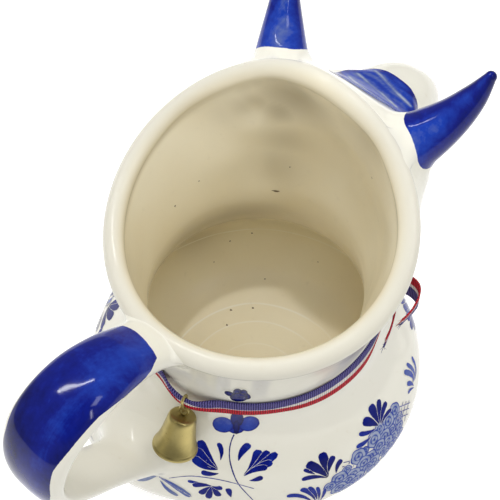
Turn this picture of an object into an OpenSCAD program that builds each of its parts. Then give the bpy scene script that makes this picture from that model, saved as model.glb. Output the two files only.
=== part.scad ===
// Cow creamer: a glazed jug with a cow's head in front, a strap handle behind,
// two horns, and a ribbon round the neck that carries a small bell.
// The origin is the centre of the foot, +Z is up, the cow faces -Y and the handle is at +Y.
// Angles round the jug are counted from the face (0) by the cow's left side (+X, 90).

/* [Belly and foot] */
// Radius of the flat foot
foot_r = 34; // [28:0.5:38]
// Radius of the rounded edge of the foot
foot_round = 1.6; // [1:0.1:2.5]
// Largest radius of the belly
belly_r = 50.8; // [46:0.2:56]
// Height of the belly's widest line
belly_z = 25; // [20:0.5:30]
// Thickness of the belly and neck walls
wall = 4.2; // [3.2:0.1:4.8]
// Thickness of the floor
floor_t = 4; // [3:0.1:6]

/* [Neck and rim] */
// Mean outer radius of the waist, where the ribbon lies
waist_r = 35.9; // [33:0.1:38]
// Height of the waist
waist_z = 64.5; // [60:0.5:68]
// How far the waist stands back toward the handle
waist_back = 1; // [0:0.1:2]
// Mean radius of the middle of the lip
rim_r = 35.1; // [33:0.1:37]
// How far the lip stands back toward the handle
rim_back = 5.2; // [4:0.1:6]
// How much wider the lip is from side to side
rim_oval = 4.2; // [3:0.1:5]
// How much the lip draws in between the horns
rim_brow = 1.5; // [0.5:0.1:2]
// Mean height of the lip
rim_z = 102.2; // [98:0.2:106]
// Rise of the lip toward the cow's brow
rim_rise = 19.6; // [16:0.2:22]
// Upward bow of the lip, front and back
rim_bow = 4.9; // [3:0.1:6]
// Radius of the rolled lip
lip_r = 2.8; // [2.6:0.1:3.2]

/* [Head] */
// Reach of the muzzle in front of the jug's axis
muzzle_y = 75.5; // [70:0.5:80]
// Height of the muzzle's tip
muzzle_z = 86; // [82:0.5:90]
// Half width of the muzzle
muzzle_w = 13; // [11:0.2:15]
// Half width of the bridge of the nose
bridge_w = 11.5; // [9:0.2:13]
// Reach of the forehead in front of the jug's axis
forehead_y = 46; // [42:0.5:50]
// Height of the forehead
forehead_z = 106.5; // [102:0.5:110]
// Half width of the forehead
forehead_w = 23; // [20:0.5:26]
// Fullness of the cheeks and brow in front of the neck
cheek_out = 17.5; // [14:0.5:20]

/* [Horns] */
// Radius of a horn at its root
horn_r = 7.4; // [6:0.1:8.5]
// Radius of a horn's blunt tip
horn_tip_r = 1.5; // [1:0.1:2]
// Sideways place of a horn's root
horn_x = 18.5; // [17:0.1:20]
// Forward place of a horn's root
horn_y = 30.5; // [29:0.1:33]
// Height of a horn's root
horn_z = 111.5; // [108:0.5:114]
// Sideways reach of a horn
horn_out = 12; // [9:0.5:14]
// Forward reach of a horn
horn_ahead = 16.5; // [12:0.5:18]
// Rise of a horn
horn_up = 20.5; // [16:0.5:24]

/* [Handle] */
// Width of the handle at its widest
handle_w = 19.5; // [17:0.5:21]
// Width of the handle at its foot
handle_low_w = 15; // [12:0.5:17]
// Thickness of the handle
handle_t = 8.6; // [7:0.2:9.4]
// Reach of the handle's middle line behind the jug's axis
handle_y = 80; // [76:0.5:84]
// Height of the handle's middle line at its top
handle_top_z = 96.8; // [93:0.2:99]
// Height at which the handle's foot meets the belly
handle_foot_z = 36; // [33:0.5:39]
// How far the handle is set off the middle, as it was luted by hand
handle_off = 1.2; // [0:0.1:2]

/* [Ribbon] */
// Width of the ribbon
ribbon_w = 6.4; // [5:0.1:7]
// Thickness of the ribbon
ribbon_t = 0.5; // [0.4:0.05:0.7]
// Gap between the ribbon and the neck
ribbon_gap = 0.4; // [0.35:0.05:0.5]
// Angle of the knot round the neck
knot_angle = -44; // [-50:1:-38]
// Length of the tail that lies along the ribbon
tail_long = 20.5; // [16:0.5:24]
// Length of the tail that curls outward
tail_short = 15; // [11:0.5:18]

/* [Bell] */
// Radius of the bell's mouth
bell_r = 6.2; // [5.4:0.1:6.6]
// Height of the bell without its loop
bell_h = 12; // [11:0.1:13]
// Wall of the bell
bell_wall = 0.7; // [0.6:0.05:0.9]
// Angle of the bell round the neck
bell_angle = -168.5; // [-171:0.5:-160]
// Lean of the bell away from the jug, in degrees
bell_lean = 27.5; // [27:0.5:29]
// Thickness of the link's wire
ring_wire = 0.8; // [0.7:0.05:0.9]
// Room inside the link on each side of the ribbon
ring_inner_gap = 0.45; // [0.4:0.05:0.6]
// Room between the link and the neck
ring_neck_gap = 1.3; // [1.2:0.05:1.6]
// Height between the middles of the link's two bends
link_l = 4.1; // [4:0.1:4.4]
// Thickness of the loop's wire
loop_wire = 0.7; // [0.6:0.05:0.8]
// Radius of the clapper's ball
ball_r = 1.2; // [1:0.05:1.4]

/* [Hidden] */

// Counts of points round and along each swept form
around = 64;
neck_steps = 20;
handle_around = 20;
handle_steps = 34;
horn_around = 16;
horn_steps = 14;
band_around = 90;
band_start = bell_angle + 208;
round_fn = 64;

// A smooth curve through a list of points, as Catmull and Rom worked it out
function curve_part(a, b, c, d, t) =
    0.5 * (2 * b + (c - a) * t + (2 * a - 5 * b + 4 * c - d) * t * t
        + (3 * b - a - 3 * c + d) * t * t * t);
function curve(points, t) =
    let (
        last = len(points) - 1,
        at = min(max(t, 0), 1) * last,
        i = min(floor(at), last - 1)
    )
    curve_part(points[max(i - 1, 0)], points[i], points[i + 1], points[min(i + 2, last)], at - i);

function mix(a, b, share) = a + (b - a) * share;
function lobe(angle, width, steep = 2.6) = exp(-pow(abs(angle) / width, steep));
function place(r, angle, z) = [r * sin(angle), -r * cos(angle), z];
function unit(v) = v / norm(v);
function bent(length, r) = length / r * 180 / PI;
// Least length that a share is taken of
least = 0.01;

// Skin over rings of equally many points, each counted anticlockwise seen from its end
module skin(rings, closed = false) {
    n = len(rings[0]);
    m = len(rings);
    walls = [
        for (j = [0 : m - (closed ? 1 : 2)], i = [0 : n - 1], half = [0, 1])
            let (
                a = j * n + i,
                b = j * n + (i + 1) % n,
                c = ((j + 1) % m) * n + (i + 1) % n,
                d = ((j + 1) % m) * n + i
            )
            half == 0 ? [a, c, b] : [a, d, c]
    ];
    ends = closed ? [] : [
        [for (i = [0 : n - 1]) i],
        [for (i = [n - 1 : -1 : 0]) (m - 1) * n + i]
    ];
    polyhedron(
        points = [for (ring = rings) each ring],
        faces = concat(walls, ends),
        convexity = 8
    );
}

// Angles round the jug, drawn closer together at the face
face_crowd = 40;
angles = [
    for (i = [0 : around - 1])
        let (a = i * 360 / around) a - face_crowd * sin(a)
];
function turned(angle) = angle > 180 ? angle - 360 : angle;

// The waist and the lip, as closed curves round the jug
waist_oval = 0.7;
function waist_radius(a) = waist_r - waist_back * cos(a) + waist_oval * cos(2 * a);
function rim_radius(a) =
    rim_r - rim_back * cos(a) - rim_oval * cos(2 * a) - rim_brow * cos(3 * a);
function rim_height(a) = rim_z + rim_rise * cos(a) + rim_bow * cos(2 * a);

// The neck without the head: 0 is the waist and 1 the lip
flare_power = 1.7;
neck_z_power = 1.05;
function neck_radius(a, share) =
    mix(waist_radius(a), rim_radius(a) + wall / 2, pow(share, flare_power));
function neck_height(a, share) = mix(waist_z, rim_height(a), pow(share, neck_z_power));

// The head's profile in front: share up the neck, reach, height, half width of the
// nose, fullness of the cheeks and their half width as an angle
throat_w = 15;
jaw_w = 11;
poll_w = 29;
muzzle_deep = 10;
cheek_angle = 29;
brow_angle = 40;
head_rows = [
    [0, waist_radius(0), waist_z, throat_w, 0, cheek_angle],
    [0.1, waist_radius(0) + wall * 0.3, waist_z + wall * 0.85, throat_w, cheek_out * 0.03, cheek_angle],
    [0.2, mix(waist_radius(0), muzzle_y, 0.44), muzzle_z - muzzle_deep * 1.35, jaw_w,
        cheek_out * 0.34, cheek_angle],
    [0.31, muzzle_y - muzzle_deep * 0.55, muzzle_z - muzzle_deep * 0.95, muzzle_w * 0.9,
        cheek_out * 0.63, cheek_angle],
    [0.42, muzzle_y, muzzle_z, muzzle_w, cheek_out * 0.8, cheek_angle],
    [0.53, muzzle_y - muzzle_deep * 0.6, muzzle_z + muzzle_deep * 0.98, muzzle_w * 0.96,
        cheek_out * 0.92, cheek_angle * 1.07],
    [0.65, mix(forehead_y, muzzle_y, 0.42), mix(forehead_z, muzzle_z, 0.27), bridge_w,
        cheek_out, cheek_angle * 1.17],
    [0.78, forehead_y, forehead_z, forehead_w, cheek_out * 0.86, brow_angle * 0.97],
    [0.9, mix(forehead_y, rim_radius(0) + lip_r, 0.5), mix(forehead_z, rim_height(0), 0.5), poll_w,
        cheek_out * 0.5, brow_angle * 1.1],
    [1, rim_radius(0) + lip_r, rim_height(0), poll_w, lip_r - wall / 2, brow_angle * 1.2]
];
head_shares = [for (row = head_rows) row[0]];
// A row of the head at any share of the neck
function head_at(share, i = 0) =
    i >= len(head_rows) - 2 || share <= head_shares[i + 1]
        ? let (
            t = (share - head_shares[i]) / (head_shares[i + 1] - head_shares[i]),
            last = len(head_rows) - 1
        )
        curve_part(
            head_rows[max(i - 1, 0)], head_rows[i], head_rows[i + 1],
            head_rows[min(i + 2, last)], t)
        : head_at(share, i + 1);

// A boss swells round each horn's root
boss_out = 3.4;
boss_angle = atan(horn_x / horn_y);
boss_at_share = 0.86;
boss_width = 14;
boss_high_share = 0.11;
function boss(a, share) =
    lobe(abs(turned(a)) - boss_angle, boss_width, 2)
        * lobe(share - boss_at_share, boss_high_share, 2);

// One point of the neck's outside, with the cheeks and the nose drawn forward
function neck_point(a, share) =
    let (
        head = head_at(share),
        base = neck_radius(0, share),
        lift = head[2] - neck_height(0, share),
        nose = max(head[1] - base - head[4], 0),
        middle = mix(base + head[4], head[1], 0.55),
        nose_lobe = lobe(turned(a), atan(head[3] / middle) * 1.15),
        cheek_lobe = lobe(turned(a), head[5] * 1.15, 3),
        most = max(nose + head[4], least)
    )
    place(
        neck_radius(a, share) + head[4] * cheek_lobe + nose * nose_lobe
            + boss_out * boss(a, share),
        a,
        neck_height(a, share) + lift * (head[4] * cheek_lobe + nose * nose_lobe) / most
            + boss_out * 0.5 * boss(a, share)
    );

// The neck's inside follows the head as a soft dent only, and is thicker at the waist
dent_share = 0.12;
dent_width = 34;
waist_thick = 1.2;
function neck_inner_point(a, share) =
    let (
        head = head_at(share),
        dent = (head[1] - neck_radius(0, share)) * dent_share * lobe(turned(a), dent_width, 2),
        thick = wall + waist_thick * pow(1 - share, 2)
    )
    place(neck_radius(a, share) - thick + dent, a, neck_height(a, share));

// The belly's outline: radius and height, from the foot to just under the waist
shoulder_z = mix(belly_z, waist_z, 0.68);
belly_points = [
    [foot_r - foot_round, 0],
    [foot_r, foot_round * 0.35],
    [mix(foot_r, belly_r, 0.22), belly_z * 0.16],
    [mix(foot_r, belly_r, 0.58), belly_z * 0.38],
    [mix(foot_r, belly_r, 0.88), belly_z * 0.68],
    [belly_r, belly_z],
    [mix(waist_r, belly_r, 0.77), mix(belly_z, shoulder_z, 0.42)],
    [mix(waist_r, belly_r, 0.34), mix(belly_z, shoulder_z, 0.76)],
    [mix(waist_r, belly_r, 0.09), shoulder_z],
    [mix(waist_r, belly_r, 0.02), mix(shoulder_z, waist_z, 0.5)]
];
belly_steps = 12;
// A belly point, with the waist's oval fading in toward the waist
function belly_point(a, p, thick = 0) =
    let (
        share = pow(max(p[1] - belly_z, 0) / (waist_z - belly_z), 2),
        oval = (waist_radius(a) - waist_r) * share
    )
    place(p[0] - thick + oval, a, p[1]);

inner_points = [
    [mix(waist_r, belly_r, 0.02) - waist_thick * 0.8, mix(shoulder_z, waist_z, 0.5)],
    [mix(waist_r, belly_r, 0.12) - waist_thick * 0.3, shoulder_z - wall * 0.3],
    [mix(waist_r, belly_r, 0.37), mix(belly_z, shoulder_z, 0.74)],
    [mix(waist_r, belly_r, 0.79), mix(belly_z, shoulder_z, 0.4)],
    [belly_r, belly_z],
    [mix(foot_r, belly_r, 0.88), belly_z * 0.68],
    [mix(foot_r, belly_r, 0.6), belly_z * 0.42],
    [mix(foot_r, belly_r, 0.28), floor_t + wall * 0.9],
    [foot_r, floor_t + wall * 0.22],
    [foot_r - wall * 0.8, floor_t]
];
inner_steps = 10;

lip_steps = 6;
lip_start = -20;
lip_turn = 220;
// The lip is rolled round its own middle line
function lip_point(a, turn) =
    place(rim_radius(a) + lip_r * cos(turn), a, rim_height(a) + lip_r * sin(turn));

neck_last_share = 0.95;
inner_last_share = 0.93;
jug_rings = concat(
    [for (k = [0 : belly_steps - 1])
        [for (a = angles) belly_point(a, curve(belly_points, k / (belly_steps - 1)))]],
    [for (k = [0 : neck_steps])
        [for (a = angles) neck_point(a, k / neck_steps * neck_last_share)]],
    [for (k = [0 : lip_steps])
        [for (a = angles) lip_point(a, lip_start + k * lip_turn / lip_steps)]],
    [for (k = [neck_steps : -2 : 0])
        [for (a = angles) neck_inner_point(a, k / neck_steps * inner_last_share)]],
    [for (k = [0 : inner_steps - 1])
        [for (a = angles) belly_point(a, curve(inner_points, k / (inner_steps - 1)), wall)]]
);

module jug_body() {
    color("ivory") skin(jug_rings);
}

// The handle's middle line behind the jug, as places [y, z], from the lip to the belly
rim_rear_y = rim_radius(180) + lip_r;
rim_rear_z = rim_height(180);
belly_rear_y = mix(waist_r, belly_r, 0.87);
handle_line = [
    [rim_rear_y - wall * 0.45, rim_rear_z - lip_r * 0.9],
    [mix(rim_rear_y, handle_y, 0.1), mix(rim_rear_z, handle_top_z, 0.22)],
    [mix(rim_rear_y, handle_y, 0.29), mix(rim_rear_z, handle_top_z, 0.74)],
    [mix(rim_rear_y, handle_y, 0.5), handle_top_z],
    [mix(rim_rear_y, handle_y, 0.71), handle_top_z - handle_t * 0.09],
    [mix(rim_rear_y, handle_y, 0.88), mix(handle_top_z, handle_foot_z, 0.075)],
    [mix(rim_rear_y, handle_y, 0.98), mix(handle_top_z, handle_foot_z, 0.195)],
    [handle_y, mix(handle_top_z, handle_foot_z, 0.33)],
    [mix(rim_rear_y, handle_y, 0.93), mix(handle_top_z, handle_foot_z, 0.47)],
    [mix(rim_rear_y, handle_y, 0.77), mix(handle_top_z, handle_foot_z, 0.62)],
    [mix(rim_rear_y, handle_y, 0.57), mix(handle_top_z, handle_foot_z, 0.77)],
    [mix(rim_rear_y, handle_y, 0.37), mix(handle_top_z, handle_foot_z, 0.91)],
    [belly_rear_y - wall * 0.42, handle_foot_z + handle_t * 0.08]
];
handle_width_shares = [0.88, 0.82, 0.88, 0.96, 1, 1, 0.96, 0.9, 0.84, 0.79, 0.76, 0.84, 1.15];
handle_thick_shares = [1.1, 0.98, 1, 1, 1, 0.98, 0.94, 0.88, 0.82, 0.77, 0.78, 0.95, 1.45];
inner_flat_share = 0.72;
// The narrowest of the width shares, which the width at the foot replaces
handle_narrow_share = 0.76;

function handle_ring(t) =
    let (
        step = 1 / handle_steps / 3,
        at = curve(handle_line, t),
        along = unit(curve(handle_line, min(t + step, 1)) - curve(handle_line, max(t - step, 0))),
        side = [-along[1], along[0]],
        fade = 3 * t * t - 2 * t * t * t,
        half_w = handle_w / 2 * curve(handle_width_shares, t)
            * mix(1, handle_low_w / (handle_w * handle_narrow_share), fade),
        half_t = handle_t / 2 * curve(handle_thick_shares, t)
    )
    [
        for (i = [0 : handle_around - 1])
            let (
                a = i * 360 / handle_around,
                u = sign(cos(a)) * pow(abs(cos(a)), 0.8) * half_w,
                v = sign(sin(a)) * pow(abs(sin(a)), 0.9) * half_t
                    * (sin(a) > 0 ? 1 : inner_flat_share)
            )
            [handle_off - u, at[0] + side[0] * v, at[1] + side[1] * v]
    ];

module handle() {
    color("mediumblue")
        skin([for (k = [0 : handle_steps]) handle_ring(k / handle_steps)]);
}

// A horn's middle line as shares of its sideways, forward and upward reach
horn_shares = [
    [0, 0, 0],
    [0.36, 0.34, 0.14],
    [0.7, 0.68, 0.38],
    [0.91, 0.89, 0.68],
    [1, 1, 1]
];
horn_thick_shares = [1.12, 0.88, 0.65, 0.42, 0.2];

function horn_place(t) =
    let (s = curve(horn_shares, t))
    [horn_x + horn_out * s[0], -horn_y - horn_ahead * s[1], horn_z + horn_up * s[2]];
function horn_ring(t, r) =
    let (
        step = 1 / horn_steps / 3,
        along = unit(horn_place(min(t + step, 1)) - horn_place(max(t - step, 0))),
        u = unit(cross([0, 1, 0], along)),
        v = cross(along, u)
    )
    [
        for (i = [0 : horn_around - 1])
            let (a = i * 360 / horn_around)
            horn_place(t) + (u * cos(a) + v * sin(a)) * r
    ];
tip_steps = 4;
horn_end = unit(horn_place(1) - horn_place(0.98));
horn_rings = concat(
    [for (k = [0 : horn_steps])
        let (t = k / horn_steps)
        horn_ring(t, mix(horn_r * curve(horn_thick_shares, t), horn_tip_r, pow(t, 6)))],
    [for (k = [1 : tip_steps])
        let (turn = 84 * k / tip_steps)
        [for (p = horn_ring(1, horn_tip_r * cos(turn))) p + horn_end * horn_tip_r * sin(turn)]]
);

module left_horn() {
    color("royalblue") skin(horn_rings);
}

module right_horn() {
    color("royalblue") mirror([1, 0, 0]) skin(horn_rings);
}

// The ribbon stands off the neck and gathers where the link goes round it
gather_width = 10;
gather_share = 0.42;
ring_room = ring_neck_gap + ring_wire + ring_inner_gap - ribbon_gap;
throat_room = 1.9;
throat_angle = 48;
function ribbon_radius(a) =
    waist_radius(a) + ribbon_gap + ring_room * lobe(a - bell_angle, gather_width, 3)
        + throat_room * lobe(a, throat_angle, 3);
function ribbon_half(a) =
    ribbon_w / 2 * (1 - gather_share * lobe(a - bell_angle, gather_width * 0.75, 2));
// It climbs a little under the handle
climb = 2;
climb_angle = -183;
climb_width = 9;
function ribbon_z(a) = waist_z + climb * lobe(a - climb_angle, climb_width);

module ribbon_band() {
    color("firebrick") skin(
        [for (i = [0 : band_around - 1])
            let (
                a = band_start - i * 360 / band_around,
                r = ribbon_radius(a),
                h = ribbon_half(a),
                z = ribbon_z(a)
            )
            [
                place(r, a, z - h),
                place(r + ribbon_t, a, z - h),
                place(r + ribbon_t, a, z + h),
                place(r, a, z + h)
            ]],
        closed = true
    );
}

// The knot: a rounded pad on the ribbon
knot_l = ribbon_w * 0.85;
knot_h = ribbon_w * 0.95;
knot_t = ribbon_w * 0.5;
knot_gap = 0.2;
knot_r = ribbon_radius(knot_angle) + ribbon_t + knot_gap;
knot_shares = [[0, 0.7], [0.35, 1], [0.75, 0.9], [1, 0.45]];
knot_fn = 20;

module ribbon_knot() {
    color("firebrick") skin(
        [for (k = [0 : len(knot_shares) - 1])
            [for (i = [0 : knot_fn - 1])
                let (
                    a = i * 360 / knot_fn,
                    s = knot_shares[k],
                    across = knot_l / 2 * s[1] * cos(a),
                    bend = knot_angle + bent(across, knot_r)
                )
                place(knot_r + knot_t * s[0], bend, waist_z + knot_h / 2 * s[1] * sin(a))]]
    );
}

// A tail: a strip that leaves the knot along hand-set shares [back, out, up] of its length
tail_steps = 12;
tail_gap = 0.1;
module tail(length, line_shares, root_angle) {
    rings = [
        for (k = [0 : tail_steps])
            let (
                t = k / tail_steps,
                step = 1 / tail_steps / 3,
                s = curve(line_shares, t) * length,
                ahead = curve(line_shares, min(t + step, 1)) - curve(line_shares, max(t - step, 0)),
                r = knot_r + s[1],
                a = root_angle - bent(s[0], knot_r),
                rise = unit([ahead[0], ahead[2]]),
                wide = ribbon_w / 2 * 0.92
            )
            [for (c = [[-1, 0], [-1, 1], [1, 1], [1, 0]])
                place(r + c[1] * ribbon_t, a + bent(c[0] * wide * rise[1], r),
                    waist_z + s[2] + c[0] * wide * rise[0])]
    ];
    skin(rings);
}
long_tail_shares = [
    [0, 0.03, 0], [0.25, 0.04, 0.02], [0.5, 0.05, 0.08], [0.75, 0.06, 0.16], [1, 0.08, 0.2]
];
short_tail_shares = [
    [0, 0.13, 0.06], [0.2, 0.32, 0.24], [0.45, 0.44, 0.4], [0.7, 0.38, 0.42], [0.95, 0.24, 0.36]
];
tail_root = bent(knot_l / 2 + tail_gap, knot_r);

module ribbon_long_tail() {
    color("firebrick") tail(tail_long, long_tail_shares, knot_angle - tail_root);
}

module ribbon_short_tail() {
    color("firebrick") tail(tail_short, short_tail_shares, knot_angle - tail_root);
}

// The link is a long wire ring that stands round the gathered ribbon: its upper bend hangs
// on the ribbon's edge, and the bell's loop slides round its lower bend
hang_gap = 0.08;
bend_r = ribbon_t / 2 + ring_wire / 2 + ring_inner_gap;
bend_hole = bend_r - ring_wire / 2;
ring_out = ribbon_radius(bell_angle) + ribbon_t / 2;
upper_bend_z = waist_z + ribbon_half(bell_angle) - bend_hole * 0.7;
lower_bend_z = upper_bend_z - link_l;
module at_bend(z) {
    rotate([0, 0, bell_angle]) translate([0, -ring_out, z]) children();
}
module half_link(z, turn) {
    at_bend(z) rotate([turn, 0, 0]) rotate([90, 0, 90])
        rotate_extrude(angle = 180, $fn = round_fn)
            translate([bend_r, 0]) circle(d = ring_wire, $fn = 24);
}
module bell_ring() {
    color("darkgoldenrod") {
        half_link(upper_bend_z, 0);
        half_link(lower_bend_z, 180);
        for (side = [-1, 1])
            at_bend(lower_bend_z) translate([0, side * bend_r, 0])
                cylinder(d = ring_wire, h = link_l, $fn = 24);
    }
}

// The bell hangs from the lower bend along a line that leans outward
module at_bell() {
    at_bend(lower_bend_z) rotate([-bell_lean, 0, 0]) translate([0, 0, -bend_r]) children();
}
loop_r = 1.2;
loop_hole = loop_r - loop_wire / 2;
loop_drop = loop_hole - ring_wire / 2 - hang_gap;

// Places along the bell's own axis, below the ring's wire
loop_z = -loop_drop;
crown_z = loop_z - loop_r - loop_wire / 2;
mouth_z = crown_z - bell_h;
hole_gap = 0.06;
hole_r = loop_wire / 2 + hole_gap;
bell_outline_shares = [
    [1, 0], [0.985, 0.045], [0.9, 0.13], [0.8, 0.25], [0.72, 0.4],
    [0.665, 0.58], [0.63, 0.76], [0.6, 0.83], [0.55, 0.87]
];
crown_outline_shares = [[0.53, 0.9], [0.5, 0.94], [0.4, 0.975], [0.26, 1]];

module bell_shell() {
    outside = [for (s = concat(bell_outline_shares, crown_outline_shares))
        [bell_r * s[0], mouth_z + bell_h * s[1]]];
    inside = [for (i = [len(bell_outline_shares) - 1 : -1 : 0])
        let (s = bell_outline_shares[i])
        [bell_r * s[0] - bell_wall, mouth_z + (bell_h - bell_wall * 1.4) * s[1]]];
    color("goldenrod") at_bell() rotate_extrude($fn = round_fn)
        polygon(concat(outside, [[hole_r, crown_z], [hole_r, mouth_z + bell_h * 0.88]], inside));
}

// Wire loop: an eye over the crown, a stem through it and an eye inside
eye_r = 0.95;
eye_z = mouth_z + bell_h * 0.74;
module wire_eye(r) {
    rotate([90, 0, 0]) rotate_extrude($fn = 48) translate([r, 0]) circle(d = loop_wire, $fn = 20);
}
module bell_loop() {
    color("darkgoldenrod") at_bell() {
        translate([0, 0, loop_z]) wire_eye(loop_r);
        translate([0, 0, eye_z + eye_r])
            cylinder(d = loop_wire, h = loop_z - loop_r - eye_z - eye_r, $fn = 24);
        translate([0, 0, eye_z]) wire_eye(eye_r);
    }
}

// The clapper hangs plumb from the eye inside the bell
clapper_wire = 0.5;
clapper_eye_r = 0.8;
clapper_l = bell_h * 0.43;
clapper_eye_z = clapper_wire / 2 + loop_wire / 2 + hang_gap - clapper_eye_r;
module clapper() {
    color("peru") at_bell() translate([0, 0, eye_z - eye_r]) rotate([bell_lean, 0, 0]) {
        translate([0, 0, clapper_eye_z]) rotate([0, 90, 0])
            rotate_extrude($fn = 40) translate([clapper_eye_r, 0]) circle(d = clapper_wire, $fn = 16);
        translate([0, 0, -clapper_l])
            cylinder(d = clapper_wire, h = clapper_l + clapper_eye_z - clapper_eye_r, $fn = 16);
        translate([0, 0, -clapper_l]) sphere(r = ball_r, $fn = 32);
    }
}

jug_body();
handle();
left_horn();
right_horn();
ribbon_band();
ribbon_knot();
ribbon_long_tail();
ribbon_short_tail();
bell_ring();
bell_shell();
bell_loop();
clapper();
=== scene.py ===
"""The looks of a cow creamer: a tin-glazed jug with painted horns, handle and flowers,
a striped ribbon round its neck and a small brass bell. Lengths are in millimetres until
a mesh is made, and angles go round the jug in degrees from the face toward the cow's left."""

import math

import bpy
import numpy as np
from mathutils import Matrix, Quaternion, Vector
from mathutils.bvhtree import BVHTree


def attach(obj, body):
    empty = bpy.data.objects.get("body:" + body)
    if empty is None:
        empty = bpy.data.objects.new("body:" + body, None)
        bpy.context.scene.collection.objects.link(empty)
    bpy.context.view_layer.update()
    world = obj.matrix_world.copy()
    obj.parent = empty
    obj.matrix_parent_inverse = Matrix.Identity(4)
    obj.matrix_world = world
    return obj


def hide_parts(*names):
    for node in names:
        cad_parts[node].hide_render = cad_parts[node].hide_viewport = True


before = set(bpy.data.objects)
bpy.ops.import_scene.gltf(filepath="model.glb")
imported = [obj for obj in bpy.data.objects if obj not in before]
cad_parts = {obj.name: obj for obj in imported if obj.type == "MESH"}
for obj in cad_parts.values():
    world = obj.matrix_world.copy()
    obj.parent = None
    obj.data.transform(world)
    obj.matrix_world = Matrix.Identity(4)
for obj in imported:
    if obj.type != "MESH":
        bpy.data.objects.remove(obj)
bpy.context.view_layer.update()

MM = 0.001
rng = np.random.default_rng(7)

# The jug's sizes, as in the solids
FOOT_R, FOOT_ROUND, BELLY_R, BELLY_Z = 34, 1.6, 50.8, 25
WALL, FLOOR_T = 4.2, 4
WAIST_R, WAIST_Z, WAIST_BACK, WAIST_OVAL = 35.9, 64.5, 1, 0.7
RIM_R, RIM_BACK, RIM_OVAL, RIM_BROW = 35.1, 5.2, 4.2, 1.5
RIM_Z, RIM_RISE, RIM_BOW, LIP_R = 102.2, 19.6, 4.9, 2.8
MUZZLE_Y, MUZZLE_Z, MUZZLE_W, MUZZLE_DEEP = 75.5, 86, 13, 10
BRIDGE_W, FOREHEAD_Y, FOREHEAD_Z, FOREHEAD_W = 11.5, 46, 106.5, 23
CHEEK_OUT, CHEEK_ANGLE, BROW_ANGLE = 17.5, 29, 40
HORN_R, HORN_TIP_R = 7.4, 1.5
HORN_ROOT = np.array([18.5, -30.5, 111.5])
HORN_REACH = np.array([12, -16.5, 20.5])
HANDLE_W, HANDLE_LOW_W, HANDLE_T = 19.5, 15, 8.6
HANDLE_Y, HANDLE_TOP_Z, HANDLE_FOOT_Z, HANDLE_OFF = 80, 96.8, 36, 1.2
RIBBON_W, RIBBON_T, RIBBON_GAP = 6.4, 0.5, 0.4
RIB_MM = 0.62
KNOT_ANGLE, TAIL_LONG, TAIL_SHORT = -44, 20.5, 15
BELL_ANGLE = -168.5


# Curves and lobes


def mix(a, b, share):
    return a + (b - a) * share


def sin_d(a):
    return np.sin(np.radians(a))


def cos_d(a):
    return np.cos(np.radians(a))


def lobe(angle, width, steep=2.6):
    return np.exp(-((np.abs(angle) / width) ** steep))


def turned(a):
    return (np.asarray(a) + 180) % 360 - 180


def smooth(x, lo=0.0, hi=1.0):
    t = np.clip((np.asarray(x, float) - lo) / (hi - lo), 0, 1)
    return t * t * (3 - 2 * t)


def through(a, b, c, d, t):
    """A place at share t from b to c, on a smooth curve that also goes through a and d."""
    return 0.5 * (
        2 * b + (c - a) * t + (2 * a - 5 * b + 4 * c - d) * t * t + (3 * b - a - 3 * c + d) * t**3
    )


def flowing(start, leaving, end, arriving, t):
    """A place at share t from start to end, on a curve that leaves and arrives along two slopes."""
    return (
        (2 * t**3 - 3 * t**2 + 1) * start
        + (t**3 - 2 * t**2 + t) * leaving
        + (3 * t**2 - 2 * t**3) * end
        + (t**3 - t**2) * arriving
    )


def curve(points, t):
    """A smooth curve through points, at each share in t."""
    p = np.asarray(points, float)
    last = len(p) - 1
    at = np.clip(np.atleast_1d(np.asarray(t, float)), 0, 1) * last
    i = np.minimum(np.floor(at).astype(int), last - 1)
    t = at - i
    if p.ndim > 1:
        t = t[:, None]
    return through(p[np.maximum(i - 1, 0)], p[i], p[i + 1], p[np.minimum(i + 2, last)], t)


def place(r, a, z):
    r, a, z = np.broadcast_arrays(r, a, z)
    return np.stack([r * sin_d(a), -r * cos_d(a), z.astype(float)], axis=-1)


def unit(v):
    v = np.asarray(v, float)
    return v / np.maximum(np.linalg.norm(v, axis=-1, keepdims=True), 1e-12)


# The jug's outline, as in the solids


def waist_radius(a):
    return WAIST_R - WAIST_BACK * cos_d(a) + WAIST_OVAL * cos_d(2 * a)


def rim_radius(a):
    return RIM_R - RIM_BACK * cos_d(a) - RIM_OVAL * cos_d(2 * a) - RIM_BROW * cos_d(3 * a)


def rim_height(a):
    return RIM_Z + RIM_RISE * cos_d(a) + RIM_BOW * cos_d(2 * a)


def neck_radius(a, s):
    return mix(waist_radius(a), rim_radius(a) + WALL / 2, s**1.7)


def neck_height(a, s):
    return mix(WAIST_Z, rim_height(a), s**1.05)


FRONT_WAIST = float(waist_radius(0))
FRONT_LIP = float(rim_radius(0) + LIP_R)
FRONT_TOP = float(rim_height(0))
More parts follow.
